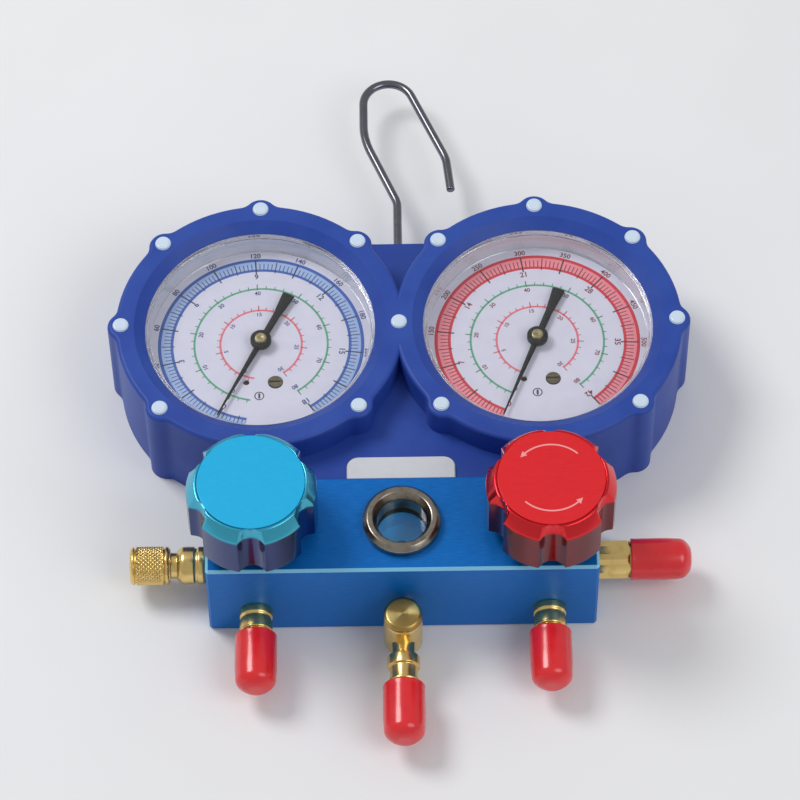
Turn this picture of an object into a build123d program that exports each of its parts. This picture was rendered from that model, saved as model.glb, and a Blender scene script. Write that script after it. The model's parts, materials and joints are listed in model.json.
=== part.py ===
from build123d import *
import os
from math import acos, atan2, cos, degrees, hypot, radians, sin, sqrt

# Two-valve refrigerant manifold with twin dial gauges, a sight glass, five ports and a hanging hook.
# The block's back lies on Z = 0 at the origin, +Y runs up to the hook, +Z out of the dials.

# Clearances
running_gap = 0.08          # radial, between a turning shaft and its bearing
free_gap = 0.3              # between parts that move past each other or are only pushed on
thread_gap = 0.05           # radial, in a screwed joint
end_float = 0.1             # along a small arbor

# Manifold block
block_length = 130.0
block_height = 36.0
block_depth = 38.0
block_chamfer = 0.8
valve_end_distance = 16.0   # each valve and hose port from the block's end
port_level = 12.0           # every port's axis above the block's back
passage_diameter = 4.4
gallery_level = 25.0
gallery_plug_length = 5.0
gallery_plug_step = 1.0
gallery_plug_sink = 0.4
spigot_diameter = 9.6
spigot_length = 9.0

# Valves
valve_lift = 4.5
chamber_diameter = 10.0
piston_length = 6.0
piston_top_gap = 0.5        # left over the piston when the valve is wide open
piston_seat_land = 1.0
piston_nose = 1.4
piston_floor = 2.2
piston_side_gap = 0.2
bonnet_across_flats = 15.0
bonnet_head = 4.0
bonnet_spigot_diameter = 14.0
bonnet_spigot_length = 8.0
stem_diameter = 5.84
stem_tip_diameter = 4.6
stem_square = 4.4
stem_square_start = 2.0     # above the knob's underside
packing_section = 1.8

# Knobs
knob_radius = 21.5
knob_face_radius = 18.6
knob_height = 22.4
knob_bevel = 4.6
knob_lift = 1.0             # knob's underside above the bonnet
knob_wall = 4.0
knob_roof = 5.0
knob_hub_radius = 7.0
knob_edge = 1.0
flute_count = 6
flute_radius = 4.6
flute_depth = 3.2
flute_blend = 1.0
disc_radius = 17.7
disc_thickness = 1.2
disc_recess = 0.9
disc_edge = 0.3

# Sight glass
sight_bore = 16.4
sight_depth = 16.0
sight_seat_diameter = 20.0
sight_seat_depth = 8.0
sight_ring_diameter = 26.0
sight_ring_height = 4.0
sight_ring_edge = 1.4
sight_ring_bevel_width = 1.6
sight_ring_bevel_depth = 2.4
sight_window_thickness = 3.0
sight_seal_thickness = 1.2

# Flare ports
thread_diameter = 11.1      # 7/16 inch
port_bore = 4.8
flare_length = 2.6
flare_depth = 2.0
thread_lead = 1.2
hose_port_reach = 22.0
hose_port_neck = 9.4
side_hex_across_flats = 12.7
side_shoulder = 1.0
side_body_edge = 1.5
right_hex_length = 11.4
left_hex_length = 10.5
left_waist_diameter = 8.7
left_waist_length = 2.4
side_thread_length = 12.0
left_thread_length = 9.9

# Protective caps
cap_length = 20.5
cap_wall = 1.25
cap_end_wall = 1.6
cap_end_round = 3.4
screw_cap_diameter = 13.0
screw_cap_length = 13.2
screw_cap_edge = 1.0
screw_cap_end_wall = 1.2
cap_seal_thickness = 1.7

# Access valve core in the left port
core_length = 6.0
core_inset = 1.8
core_pin_diameter = 1.6
core_pin_reach = 0.6
poppet_diameter = 3.6
poppet_thickness = 1.0

# Centre tee
tee_reach = 8.5             # tee's upright axis from the block's face
tee_diameter = 12.9
tee_foot = 6.5
tee_rise = 10.0
tee_stem_diameter = 10.0
tee_waist_diameter = 8.4
tee_waist_length = 3.6
tee_ring_diameter = 10.9
tee_ring_length = 4.0
tee_neck_diameter = 9.2
tee_neck_length = 5.4
tee_thread_length = 13.0
tee_plug_thickness = 2.6
tee_plug_spigot = 7.0
tee_plug_length = 5.0
tee_plug_edge = 0.8
tee_foot_edge = 1.0
tee_cap_setback = 1.4

# Gauge case, lens and dial
gauge_height = 80.0
case_radius = 40.8
case_step = 2.4             # from the case's mouth in to its neck
case_wall = 1.0
case_back = 3.0             # case's back above the block's back plane
case_corner = 4.0
dial_ledge = 23.4
dial_thickness = 0.8
dial_edge_gap = 0.3
case_front = 33.5
lens_inset = 1.8            # from the case's mouth in to the lens's raised front
lens_front = 35.0
lens_thickness = 2.0
lens_flange_thickness = 0.9
lens_skirt_wall = 1.7
lens_edge_round = 1.2

# Gauge socket and Bourdon tube
socket_hex = 14.0
socket_hex_length = 8.0
socket_neck_diameter = 12.0
socket_block_width = 12.0
socket_block_length = 13.5
socket_block_top = 17.0
socket_block_bottom = 6.5
socket_bore = 4.0
tube_inset = 13.8           # from the case's mouth in to the tube's middle
tube_wall_across = 2.6
tube_height = 9.0
tube_tip_angle = 10.0
tip_block_width = 4.0
tip_block_length = 3.4
tip_block_rise = 1.2

# Movement: back plate, pillars, bridge, sector, pinion and link
plate_thickness = 1.0
pillar_diameter = 3.0
pillar_side = 6.0           # two of the pillars beside the pointer's axis
left_pillar_drop = 13.0
right_pillar_drop = 24.0
sector_pillar_gap = 2.8     # third pillar beyond the sector's pitch circle
bridge_level = 21.2
gear_module = 0.4
pinion_teeth = 12
sector_ratio = 7
tooth_root_width = 0.66
tooth_root_overlap = 0.2
tooth_tip_width = 0.2
tooth_addendum = 0.34
tooth_dedendum = 0.5
sector_direction = -45.0    # from the pointer's axis to the sector's pivot
sector_level = 19.3
sector_thickness = 1.0
sector_arbor_diameter = 2.4
sector_sweep_down = 2.5
sector_sweep_up = 43.0
sector_margin = 6.0
sector_rim = 2.2
sector_arm = 2.6
sector_arm_inset = 4.0      # degrees from the rim's ends
sector_hub_wall = 1.6
tail_extra_width = 0.6
tail_length = 7.0
tail_direction = -60.0
link_level = 18.3
link_thickness = 0.8
link_width = 2.2
link_pin_diameter = 1.2
pointer_arbor_diameter = 1.8
pinion_bottom = 18.5
pinion_top = 20.9

# Pointer and zero-adjusting screw
pointer_level = 25.8
pointer_thickness = 0.6
pointer_tip_inset = 7.8     # from the case's mouth in to the pointer's tip
pointer_tail = 21.5
pointer_paddle_length = 10.0
pointer_paddle_taper = 1.0
pointer_tip_width = 0.5
pointer_root_width = 2.2
pointer_paddle_width = 4.6
pointer_hub_radius = 3.6
pointer_hub_height = 2.2
pointer_cap_radius = 1.9
pointer_cap_height = 0.7
low_pointer_angle = 244.0
high_pointer_angle = 248.5
zero_screw_x = 5.0
zero_screw_y = -15.5
zero_screw_head = 4.6
zero_screw_shank = 1.9
zero_screw_slot = 0.7
zero_screw_rise = 0.4
dial_peg_radius = 1.1

# Rubber cover
cover_depth = 38.0
cover_wall = 8.5            # from the case's mouth out to the cover's side
lobe_inset = 2.8
lobe_radius = 5.6
lobe_blend = 5.0
lobe_count = 8
cover_back_lip = 2.5
cover_lip_width = 6.8
cover_bevel_width = 2.2
cover_edge_round = 1.4
neck_side_gap = 1.0         # round each gauge's neck
web_length = 18.0
web_half_width = 12.0
hook_web_rise = 45.5        # over the gauges' centre line
hook_web_half_width = 14.0
hook_web_depth = 18.5
hook_web_corner = 4.0
foot_panel_half_width = 36.0
foot_panel_depth = 27.0
stud_diameter = 5.5
stud_inset = 1.8
stud_sink = 3.0
stud_rise = 0.9
stud_edge = 0.54

# Name plate
plate_width = 36.5
plate_height = 12.0
plate_gauge = 1.0
plate_bottom = 20.0
plate_corner = 4.0

# Hook
wire_diameter = 3.0
hook_level = 13.0
hook_head_diameter = 4.8
hook_head_length = 3.0
bush_diameter = 6.0
bush_length = 14.0
hook_pocket_length = 20.0
hook_straight = 21.5        # straight wire over the cover
hook_left_bend_rise = 49.5
hook_left_side = 11.7
hook_apex_rise = 108.5      # where the two sides would meet
hook_right_bend_rise = 40.5
hook_right_side = 17.6
hook_tip_rise = 26.5
hook_tip_side = 19.1
hook_foot_bend = 9.0
hook_side_bend = 30.0
hook_apex_bend = 9.0
hook_tip_bend = 16.0
hook_tip_round = 0.6

# Places worked out from the sizes above
valve_sides = (("low", -1), ("high", 1))
block_top = block_height / 2
block_end = block_length / 2
valve_offset = block_end - valve_end_distance
chamber_top = block_depth - bonnet_spigot_length
seat_level = chamber_top - piston_top_gap - valve_lift - piston_length
stem_bore = stem_diameter / 2 + running_gap
knob_base = block_depth + bonnet_head + knob_lift
knob_top = knob_base + knob_height
piston_top = seat_level + piston_length
thread_radius = thread_diameter / 2
cap_bore = thread_radius + free_gap
cap_radius = cap_bore + cap_wall
case_hole_radius = socket_neck_diameter / 2 + free_gap
case_neck_radius = case_radius - case_step
lens_radius = case_radius - lens_inset
tube_radius = case_radius - tube_inset
pointer_reach = case_radius - pointer_tip_inset
cover_bore = case_radius + free_gap
cover_radius = case_radius + cover_wall
cover_back_opening = case_radius - cover_lip_width
cover_bevel_radius = case_radius + cover_bevel_width
lobe_circle = cover_radius - lobe_inset
stud_circle = cover_radius - stud_inset
gauge_offset = stud_circle  # one stud in the middle belongs to both gauges
hook_web_top = gauge_height + hook_web_rise
dial_top = dial_ledge + dial_thickness
plate_level = socket_block_top
pinion_radius = gear_module * pinion_teeth / 2
sector_radius = pinion_radius * sector_ratio
sector_centre_distance = pinion_radius + sector_radius
tooth_pitch = 360 / (pinion_teeth * sector_ratio)


def port_plane(x):
    """Plane through a port that runs along Y: local x is its radius, local y is world Y."""
    return Plane(origin=(x, 0, port_level), x_dir=(1, 0, 0), z_dir=(0, 0, 1))


def upright_plane(x, y):
    """Plane through an upright axis: local x is the radius, local y is world Z."""
    return Plane(origin=(x, y, 0), x_dir=(1, 0, 0), z_dir=(0, -1, 0))


def polar(radius, angle):
    """Point at a radius and an angle in degrees."""
    return radius * cos(radians(angle)), radius * sin(radians(angle))


# ---------------------------------------------------------------- manifold block and its plugs
with BuildPart() as manifold_block:
    with BuildSketch(Plane.XY):
        Rectangle(block_length, block_height)
    extrude(amount=block_depth)
    chamfer(manifold_block.edges(), block_chamfer)
    # Valve chamber, bonnet seat and the hole that the valve shuts
    with Locations((-valve_offset, 0, block_depth), (valve_offset, 0, block_depth)):
        CounterBoreHole(chamber_diameter / 2, bonnet_spigot_diameter / 2 + thread_gap,
                        bonnet_spigot_length, block_depth - seat_level)
        Hole(passage_diameter / 2, block_depth - port_level)
    # Sight-glass well, with a drilling down to the centre port
    with Locations((0, 0, block_depth)):
        CounterBoreHole(sight_bore / 2, sight_seat_diameter / 2, sight_seat_depth, sight_depth)
        Hole(passage_diameter / 2, block_depth - port_level)
    # Gallery from valve to valve through the sight-glass well, drilled from the right-hand end
    with Locations(Plane(origin=(block_end, 0, gallery_level), x_dir=(0, 1, 0), z_dir=(1, 0, 0))):
        CounterBoreHole(passage_diameter / 2, passage_diameter / 2 + gallery_plug_step,
                        gallery_plug_length, block_end + valve_offset)
    # Hose ports below, gauge ports above, centre port and the two side ports
    with Locations(*[Plane(origin=(x, -block_top, port_level), x_dir=(1, 0, 0), z_dir=(0, -1, 0))
                     for x in (-valve_offset, 0, valve_offset)]):
        CounterBoreHole(passage_diameter / 2, spigot_diameter / 2 + thread_gap, spigot_length, block_top)
    with Locations(*[Plane(origin=(x, block_top, port_level), x_dir=(1, 0, 0), z_dir=(0, 1, 0))
                     for x in (-gauge_offset, gauge_offset)]):
        CounterBoreHole(passage_diameter / 2, spigot_diameter / 2 + thread_gap, spigot_length, block_top)
    with Locations(*[Plane(origin=(side * block_end, 0, port_level), x_dir=(0, 1, 0),
                           z_dir=(side, 0, 0)) for side in (-1, 1)]):
        CounterBoreHole(passage_diameter / 2, spigot_diameter / 2 + thread_gap, spigot_length,
                        block_end - min(valve_offset, gauge_offset))
manifold_block.part.label = "manifold_block"
export_step(manifold_block.part, "parts/manifold_block.step")

with BuildPart() as gallery_plug:
    with BuildSketch(Plane(origin=(block_end - gallery_plug_sink, 0, gallery_level),
                           x_dir=(0, 1, 0), z_dir=(-1, 0, 0))):
        Circle(passage_diameter / 2 + gallery_plug_step - thread_gap)
    extrude(amount=gallery_plug_length - 2 * gallery_plug_sink)
gallery_plug.part.label = "gallery_plug"
export_step(gallery_plug.part, "parts/gallery_plug.step")

# ---------------------------------------------------------------- sight glass
well_shoulder = block_depth - sight_seat_depth
window_bottom = well_shoulder + sight_seal_thickness
window_top = window_bottom + sight_window_thickness
well_radius = sight_seat_diameter / 2 - thread_gap

with BuildPart() as sight_glass_seal:
    with BuildSketch(Plane.XY.offset(well_shoulder)):
        Circle(well_radius)
        Circle(sight_bore / 2, mode=Mode.SUBTRACT)
    extrude(amount=sight_seal_thickness)
sight_glass_seal.part.label = "sight_glass_seal"
export_step(sight_glass_seal.part, "parts/sight_glass_seal.step")

with BuildPart() as sight_glass_window:
    with BuildSketch(Plane.XY.offset(window_bottom)):
        Circle(well_radius)
    extrude(amount=sight_window_thickness)
sight_glass_window.part.label = "sight_glass_window"
export_step(sight_glass_window.part, "parts/sight_glass_window.step")

with BuildPart() as sight_glass_ring:
    ring_top = block_depth + sight_ring_height
    with BuildSketch(upright_plane(0, 0)):
        Polygon(
            (sight_bore / 2, window_top),
            (well_radius, window_top),
            (well_radius, block_depth),
            (sight_ring_diameter / 2, block_depth),
            (sight_ring_diameter / 2, ring_top - sight_ring_edge),
            (sight_ring_diameter / 2 - sight_ring_edge, ring_top),
            (sight_bore / 2 + sight_ring_bevel_width, ring_top),
            (sight_bore / 2, ring_top - sight_ring_bevel_depth),
            align=None,
        )
    revolve(axis=Axis.Z)
sight_glass_ring.part.label = "sight_glass_ring"
export_step(sight_glass_ring.part, "parts/sight_glass_ring.step")

# ---------------------------------------------------------------- valves and knobs
for side, sign in valve_sides:
    valve_x = sign * valve_offset
    valve_axis = Axis((valve_x, 0, 0), (0, 0, 1))
    packing_bottom = block_depth - packing_section
    packing_radius = stem_bore + packing_section

    with BuildPart() as valve_bonnet:
        with BuildSketch(Plane(origin=(valve_x, 0, chamber_top))):
            Circle(bonnet_spigot_diameter / 2)
        extrude(amount=bonnet_spigot_length)
        with BuildSketch(Plane(origin=(valve_x, 0, block_depth))):
            RegularPolygon(bonnet_across_flats / 2, 6, major_radius=False)
        extrude(amount=bonnet_head)
        with BuildSketch(Plane(origin=(valve_x, 0, chamber_top))):
            Circle(stem_bore)
        extrude(amount=bonnet_spigot_length + bonnet_head, mode=Mode.SUBTRACT)
        with BuildSketch(Plane(origin=(valve_x, 0, packing_bottom))):
            Circle(packing_radius)
        extrude(amount=packing_section, mode=Mode.SUBTRACT)
    valve_bonnet.part.label = f"{side}_valve_bonnet"
    export_step(valve_bonnet.part, f"parts/{side}_valve_bonnet.step")

    # The piston doesn't turn: the stem's tip swivels in its socket and lifts it off the seat
    with BuildPart() as valve_piston:
        with BuildSketch(upright_plane(valve_x, 0)):
            Polygon(
                (0, seat_level),
                (passage_diameter / 2 + piston_seat_land, seat_level),
                (chamber_diameter / 2 - piston_side_gap, seat_level + piston_nose),
                (chamber_diameter / 2 - piston_side_gap, piston_top),
                (stem_tip_diameter / 2 + running_gap, piston_top),
                (stem_tip_diameter / 2 + running_gap, seat_level + piston_floor),
                (0, seat_level + piston_floor),
                align=None,
            )
        revolve(axis=valve_axis)
    valve_piston.part.label = f"{side}_valve_piston"
    export_step(valve_piston.part, f"parts/{side}_valve_piston.step")

    with BuildPart() as valve_stem:
        stem_shoulder = piston_top + free_gap
        square_bottom = knob_base + stem_square_start
        square_top = knob_top - knob_roof
        with BuildSketch(Plane(origin=(valve_x, 0, seat_level + piston_floor + free_gap))):
            Circle(stem_tip_diameter / 2)
        extrude(amount=piston_length - piston_floor)
        with BuildSketch(Plane(origin=(valve_x, 0, stem_shoulder))):
            Circle(stem_diameter / 2)
        extrude(amount=square_bottom - stem_shoulder)
        with BuildSketch(Plane(origin=(valve_x, 0, square_bottom))):
            Rectangle(stem_square, stem_square)
        extrude(amount=square_top - square_bottom)
    valve_stem.part.label = f"{side}_valve_stem"
    export_step(valve_stem.part, f"parts/{side}_valve_stem.step")

    with BuildPart() as knob:
        with BuildSketch(Plane(origin=(valve_x, 0, knob_base))) as knob_outline:
            Circle(knob_radius)
            with PolarLocations(knob_radius + flute_radius - flute_depth, flute_count, start_angle=-90):
                Circle(flute_radius, mode=Mode.SUBTRACT)
            fillet(knob_outline.vertices(), flute_blend)
        extrude(amount=knob_height)
        # Bevelled crown over the lobes
        with BuildSketch(upright_plane(valve_x, 0)):
            Polygon(
                (0, knob_base),
                (knob_radius - knob_edge, knob_base),
                (knob_radius, knob_base + knob_edge),
                (knob_radius, knob_top - knob_bevel),
                (knob_face_radius, knob_top),
                (0, knob_top),
                align=None,
            )
        revolve(axis=valve_axis, mode=Mode.INTERSECT)
        # Hollow underside round the hub, and the hub's clearance over the bonnet
        with BuildSketch(Plane(origin=(valve_x, 0, knob_base))):
            Circle(knob_radius - flute_depth - knob_wall)
            Circle(knob_hub_radius, mode=Mode.SUBTRACT)
        extrude(amount=knob_height - knob_roof, mode=Mode.SUBTRACT)
        with BuildSketch(Plane(origin=(valve_x, 0, square_bottom))):
            Rectangle(stem_square, stem_square)
        extrude(amount=square_top - square_bottom, mode=Mode.SUBTRACT)
        with BuildSketch(Plane(origin=(valve_x, 0, knob_base))):
            Circle(stem_bore)
        extrude(amount=square_bottom - knob_base, mode=Mode.SUBTRACT)
        # Recess for the coloured disc
        with BuildSketch(Plane(origin=(valve_x, 0, knob_top - disc_recess))):
            Circle(disc_radius + thread_gap)
        extrude(amount=disc_recess, mode=Mode.SUBTRACT)
    knob.part.label = f"{side}_knob"
    export_step(knob.part, f"parts/{side}_knob.step")

    with BuildPart() as knob_disc:
        with BuildSketch(Plane(origin=(valve_x, 0, knob_top - disc_recess))):
            Circle(disc_radius)
        extrude(amount=disc_thickness)
        chamfer(knob_disc.edges().group_by(Axis.Z)[-1], disc_edge)
    knob_disc.part.label = f"{side}_knob_disc"
    export_step(knob_disc.part, f"parts/{side}_knob_disc.step")

with BuildPart() as valve_packings:
    for side, sign in valve_sides:
        with BuildSketch(Plane(origin=(sign * valve_offset, 0, packing_bottom))):
            Circle(packing_radius)
            Circle(stem_bore, mode=Mode.SUBTRACT)
        extrude(amount=packing_section)
valve_packings.part.label = "valve_packings"
export_step(valve_packings.part, "parts/valve_packings.step")

# ---------------------------------------------------------------- hose ports under the block
hose_tip = -block_top - hose_port_reach
for side, sign in valve_sides:
    port_x = sign * valve_offset
    port_axis = Axis((port_x, 0, port_level), (0, 1, 0))

    with BuildPart() as hose_port:
        with BuildSketch(port_plane(port_x)):
            Polygon(
                (port_bore / 2, -block_top + spigot_length),
                (spigot_diameter / 2, -block_top + spigot_length),
                (spigot_diameter / 2, -block_top),
                (thread_radius, -block_top),
                (thread_radius, hose_tip + flare_length),
                (thread_radius - flare_depth, hose_tip),
                (port_bore / 2, hose_tip),
                align=None,
            )
        revolve(axis=port_axis)
    hose_port.part.label = f"{side}_hose_port"
    export_step(hose_port.part, f"parts/{side}_hose_port.step")

    with BuildPart() as port_cap:
        cap_mouth = -block_top - hose_port_neck - free_gap
        with BuildSketch(port_plane(port_x)) as cap_section:
            Polygon(
                (cap_bore, cap_mouth),
                (cap_radius, cap_mouth),
                (cap_radius, cap_mouth - cap_length),
                (0, cap_mouth - cap_length),
                (0, cap_mouth - cap_length + cap_end_wall),
                (cap_bore, cap_mouth - cap_length + cap_end_wall),
                align=None,
            )
            fillet(cap_section.vertices().group_by(Axis.Y)[0].sort_by(Axis.X)[-1], cap_end_round)
        revolve(axis=port_axis)
    port_cap.part.label = f"{side}_port_cap"
    export_step(port_cap.part, f"parts/{side}_port_cap.step")

# ---------------------------------------------------------------- centre tee
tee_y = -block_top - tee_reach
tee_top = port_level + tee_rise
tee_ring_start = tee_y - tee_diameter / 2 - tee_waist_length
tee_ring_end = tee_ring_start - tee_ring_length
tee_thread_start = tee_ring_end - tee_neck_length
tee_tip = tee_thread_start - tee_thread_length
centre_axis = Axis((0, 0, port_level), (0, 1, 0))

with BuildPart() as centre_tee:
    with BuildSketch(upright_plane(0, tee_y)):
        Polygon(
            (0, port_level - tee_foot),
            (tee_diameter / 2 - tee_foot_edge, port_level - tee_foot),
            (tee_diameter / 2, port_level - tee_foot + tee_foot_edge),
            (tee_diameter / 2, tee_top),
            (0, tee_top),
            align=None,
        )
    revolve(axis=Axis((0, tee_y, 0), (0, 0, 1)))
    with BuildSketch(port_plane(0)):
        Polygon(
            (0, -block_top + spigot_length),
            (spigot_diameter / 2, -block_top + spigot_length),
            (spigot_diameter / 2, -block_top),
            (tee_stem_diameter / 2, -block_top),
            (tee_stem_diameter / 2, tee_y),
            (tee_waist_diameter / 2, tee_y),
            (tee_waist_diameter / 2, tee_ring_start),
            (tee_ring_diameter / 2, tee_ring_start),
            (tee_ring_diameter / 2, tee_ring_end),
            (tee_neck_diameter / 2, tee_ring_end),
            (tee_neck_diameter / 2, tee_thread_start),
            (thread_radius, tee_thread_start),
            (thread_radius, tee_tip + flare_length),
            (thread_radius - flare_depth, tee_tip),
            (0, tee_tip),
            align=None,
        )
    revolve(axis=centre_axis)
    with BuildSketch(Plane(origin=(0, tee_tip, port_level), x_dir=(-1, 0, 0), z_dir=(0, 1, 0))):
        Circle(port_bore / 2)
    extrude(amount=-block_top + spigot_length - tee_tip, mode=Mode.SUBTRACT)
    with BuildSketch(Plane(origin=(0, tee_y, port_level))):
        Circle(tee_plug_spigot / 2 + thread_gap)
    extrude(amount=tee_rise, mode=Mode.SUBTRACT)
centre_tee.part.label = "centre_tee"
export_step(centre_tee.part, "parts/centre_tee.step")

with BuildPart() as centre_tee_plug:
    with BuildSketch(upright_plane(0, tee_y)):
        Polygon(
            (0, tee_top - tee_plug_length),
            (tee_plug_spigot / 2, tee_top - tee_plug_length),
            (tee_plug_spigot / 2, tee_top),
            (tee_diameter / 2, tee_top),
            (tee_diameter / 2, tee_top + tee_plug_thickness - tee_plug_edge),
            (tee_diameter / 2 - tee_plug_edge, tee_top + tee_plug_thickness),
            (0, tee_top + tee_plug_thickness),
            align=None,
        )
    revolve(axis=Axis((0, tee_y, 0), (0, 0, 1)))
centre_tee_plug.part.label = "centre_tee_plug"
export_step(centre_tee_plug.part, "parts/centre_tee_plug.step")

with BuildPart() as centre_port_cap:
    tee_cap_mouth = tee_thread_start - tee_cap_setback
    with BuildSketch(port_plane(0)) as centre_cap_section:
        Polygon(
            (cap_bore, tee_cap_mouth),
            (cap_radius, tee_cap_mouth),
            (cap_radius, tee_cap_mouth - cap_length),
            (0, tee_cap_mouth - cap_length),
            (0, tee_cap_mouth - cap_length + cap_end_wall),
            (cap_bore, tee_cap_mouth - cap_length + cap_end_wall),
            align=None,
        )
        fillet(centre_cap_section.vertices().group_by(Axis.Y)[0].sort_by(Axis.X)[-1], cap_end_round)
    revolve(axis=centre_axis)
centre_port_cap.part.label = "centre_port_cap"
export_step(centre_port_cap.part, "parts/centre_port_cap.step")

# ---------------------------------------------------------------- right side port and its cap
side_plane = Plane.XY.offset(port_level)
side_axis = Axis((0, 0, port_level), (1, 0, 0))
right_shoulder = block_end + right_hex_length
right_tip = right_shoulder + side_thread_length

with BuildPart() as right_side_port:
    with BuildSketch(side_plane):
        Polygon(
            (block_end - spigot_length, 0),
            (block_end - spigot_length, spigot_diameter / 2),
            (block_end, spigot_diameter / 2),
            (right_shoulder - side_shoulder, spigot_diameter / 2),
            (right_shoulder - side_shoulder, thread_radius),
            (right_tip - flare_length, thread_radius),
            (right_tip, thread_radius - flare_depth),
            (right_tip, 0),
            align=None,
        )
    revolve(axis=side_axis)
    with BuildSketch(Plane(origin=(block_end, 0, port_level), x_dir=(0, 1, 0), z_dir=(1, 0, 0))):
        RegularPolygon(side_hex_across_flats / 2, 6, major_radius=False)
    extrude(amount=right_hex_length)
    with BuildSketch(Plane(origin=(right_tip, 0, port_level), x_dir=(0, 1, 0), z_dir=(-1, 0, 0))):
        Circle(port_bore / 2)
    extrude(amount=right_tip - block_end + spigot_length, mode=Mode.SUBTRACT)
right_side_port.part.label = "right_side_port"
export_step(right_side_port.part, "parts/right_side_port.step")

with BuildPart() as right_port_cap:
    right_cap_mouth = right_shoulder + free_gap
    with BuildSketch(side_plane) as right_cap_section:
        Polygon(
            (right_cap_mouth, cap_bore),
            (right_cap_mouth, cap_radius),
            (right_cap_mouth + cap_length, cap_radius),
            (right_cap_mouth + cap_length, 0),
            (right_cap_mouth + cap_length - cap_end_wall, 0),
            (right_cap_mouth + cap_length - cap_end_wall, cap_bore),
            align=None,
        )
        fillet(right_cap_section.vertices().group_by(Axis.X)[-1].sort_by(Axis.Y)[-1], cap_end_round)
    revolve(axis=side_axis)
right_port_cap.part.label = "right_port_cap"
export_step(right_port_cap.part, "parts/right_port_cap.step")

# ---------------------------------------------------------------- left access port, core and screw cap
left_shoulder = -block_end - left_hex_length
left_thread_start = left_shoulder - left_waist_length
left_tip = left_thread_start - left_thread_length
screw_cap_bore = thread_radius + running_gap
screw_cap_mouth = left_thread_start - free_gap
screw_cap_floor = screw_cap_mouth - screw_cap_length + screw_cap_end_wall

with BuildPart() as left_side_port:
    with BuildSketch(side_plane):
        Polygon(
            (-block_end + spigot_length, 0),
            (-block_end + spigot_length, spigot_diameter / 2),
            (-block_end, spigot_diameter / 2),
            (-block_end, side_hex_across_flats / 2 - side_shoulder),
            (-block_end - side_body_edge, side_hex_across_flats / 2),
            (left_shoulder + side_body_edge, side_hex_across_flats / 2),
            (left_shoulder, side_hex_across_flats / 2 - side_shoulder),
            (left_shoulder, left_waist_diameter / 2),
            (left_thread_start, left_waist_diameter / 2),
            (left_thread_start, thread_radius),
            (left_tip + thread_lead, thread_radius),
            (left_tip, thread_radius - thread_lead),
            (left_tip, 0),
            align=None,
        )
    revolve(axis=side_axis)
    with BuildSketch(Plane(origin=(left_tip, 0, port_level), x_dir=(0, -1, 0), z_dir=(1, 0, 0))):
        Circle(port_bore / 2)
    extrude(amount=-block_end + spigot_length - left_tip, mode=Mode.SUBTRACT)
left_side_port.part.label = "left_side_port"
export_step(left_side_port.part, "parts/left_side_port.step")

core_outer_end = left_tip + core_inset
core_inner_end = core_outer_end + core_length
poppet_face = core_inner_end + free_gap

with BuildPart() as left_valve_core:
    with BuildSketch(Plane(origin=(core_outer_end, 0, port_level), x_dir=(0, -1, 0), z_dir=(1, 0, 0))):
        Circle(port_bore / 2 - thread_gap)
        Circle(core_pin_diameter / 2 + running_gap, mode=Mode.SUBTRACT)
    extrude(amount=core_length)
left_valve_core.part.label = "left_valve_core"
export_step(left_valve_core.part, "parts/left_valve_core.step")

with BuildPart() as left_core_pin:
    with BuildSketch(Plane(origin=(left_tip + core_pin_reach, 0, port_level),
                           x_dir=(0, -1, 0), z_dir=(1, 0, 0))):
        Circle(core_pin_diameter / 2)
    extrude(amount=poppet_face - left_tip - core_pin_reach)
    with BuildSketch(Plane(origin=(poppet_face, 0, port_level), x_dir=(0, -1, 0), z_dir=(1, 0, 0))):
        Circle(poppet_diameter / 2)
    extrude(amount=poppet_thickness)
left_core_pin.part.label = "left_core_pin"
export_step(left_core_pin.part, "parts/left_core_pin.step")

with BuildPart() as left_screw_cap:
    with BuildSketch(side_plane) as screw_cap_section:
        Polygon(
            (screw_cap_mouth, screw_cap_bore),
            (screw_cap_mouth, screw_cap_diameter / 2),
            (screw_cap_mouth - screw_cap_length, screw_cap_diameter / 2),
            (screw_cap_mouth - screw_cap_length, 0),
            (screw_cap_floor, 0),
            (screw_cap_floor, screw_cap_bore),
            align=None,
        )
        chamfer(screw_cap_section.vertices().group_by(Axis.X)[0].sort_by(Axis.Y)[-1], screw_cap_edge)
    revolve(axis=side_axis)
left_screw_cap.part.label = "left_screw_cap"
export_step(left_screw_cap.part, "parts/left_screw_cap.step")

with BuildPart() as left_cap_seal:
    with BuildSketch(Plane(origin=(screw_cap_floor + free_gap, 0, port_level),
                           x_dir=(0, -1, 0), z_dir=(1, 0, 0))):
        Circle(screw_cap_bore - free_gap)
    extrude(amount=cap_seal_thickness)
left_cap_seal.part.label = "left_cap_seal"
export_step(left_cap_seal.part, "parts/left_cap_seal.step")

# ---------------------------------------------------------------- twin rubber cover, studs and plate
gauge_centres = [(-gauge_offset, gauge_height), (gauge_offset, gauge_height)]
panel_bottom = block_top + free_gap
foot_panel_top = gauge_height - web_length / 2
# The right gauge's stud at 180 degrees is the left gauge's stud at 0
stud_angles = [lobe * 360 / lobe_count for lobe in range(lobe_count)]
stud_places = [
    (centre_x + polar(stud_circle, angle)[0], centre_y + polar(stud_circle, angle)[1])
    for centre_x, centre_y in gauge_centres
    for angle in stud_angles
    if centre_x < 0 or angle != 180
]

# One gauge's round of the cover, lobed at each stud
with BuildPart() as cover_round:
    with BuildSketch(Plane.XY) as cover_outline:
        Circle(cover_radius)
        with PolarLocations(lobe_circle, lobe_count):
            Circle(lobe_radius)
        fillet(cover_outline.vertices(), lobe_blend)
    extrude(amount=cover_depth)
    fillet(cover_round.faces().sort_by(Axis.Z)[-1].edges(), cover_edge_round)

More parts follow.
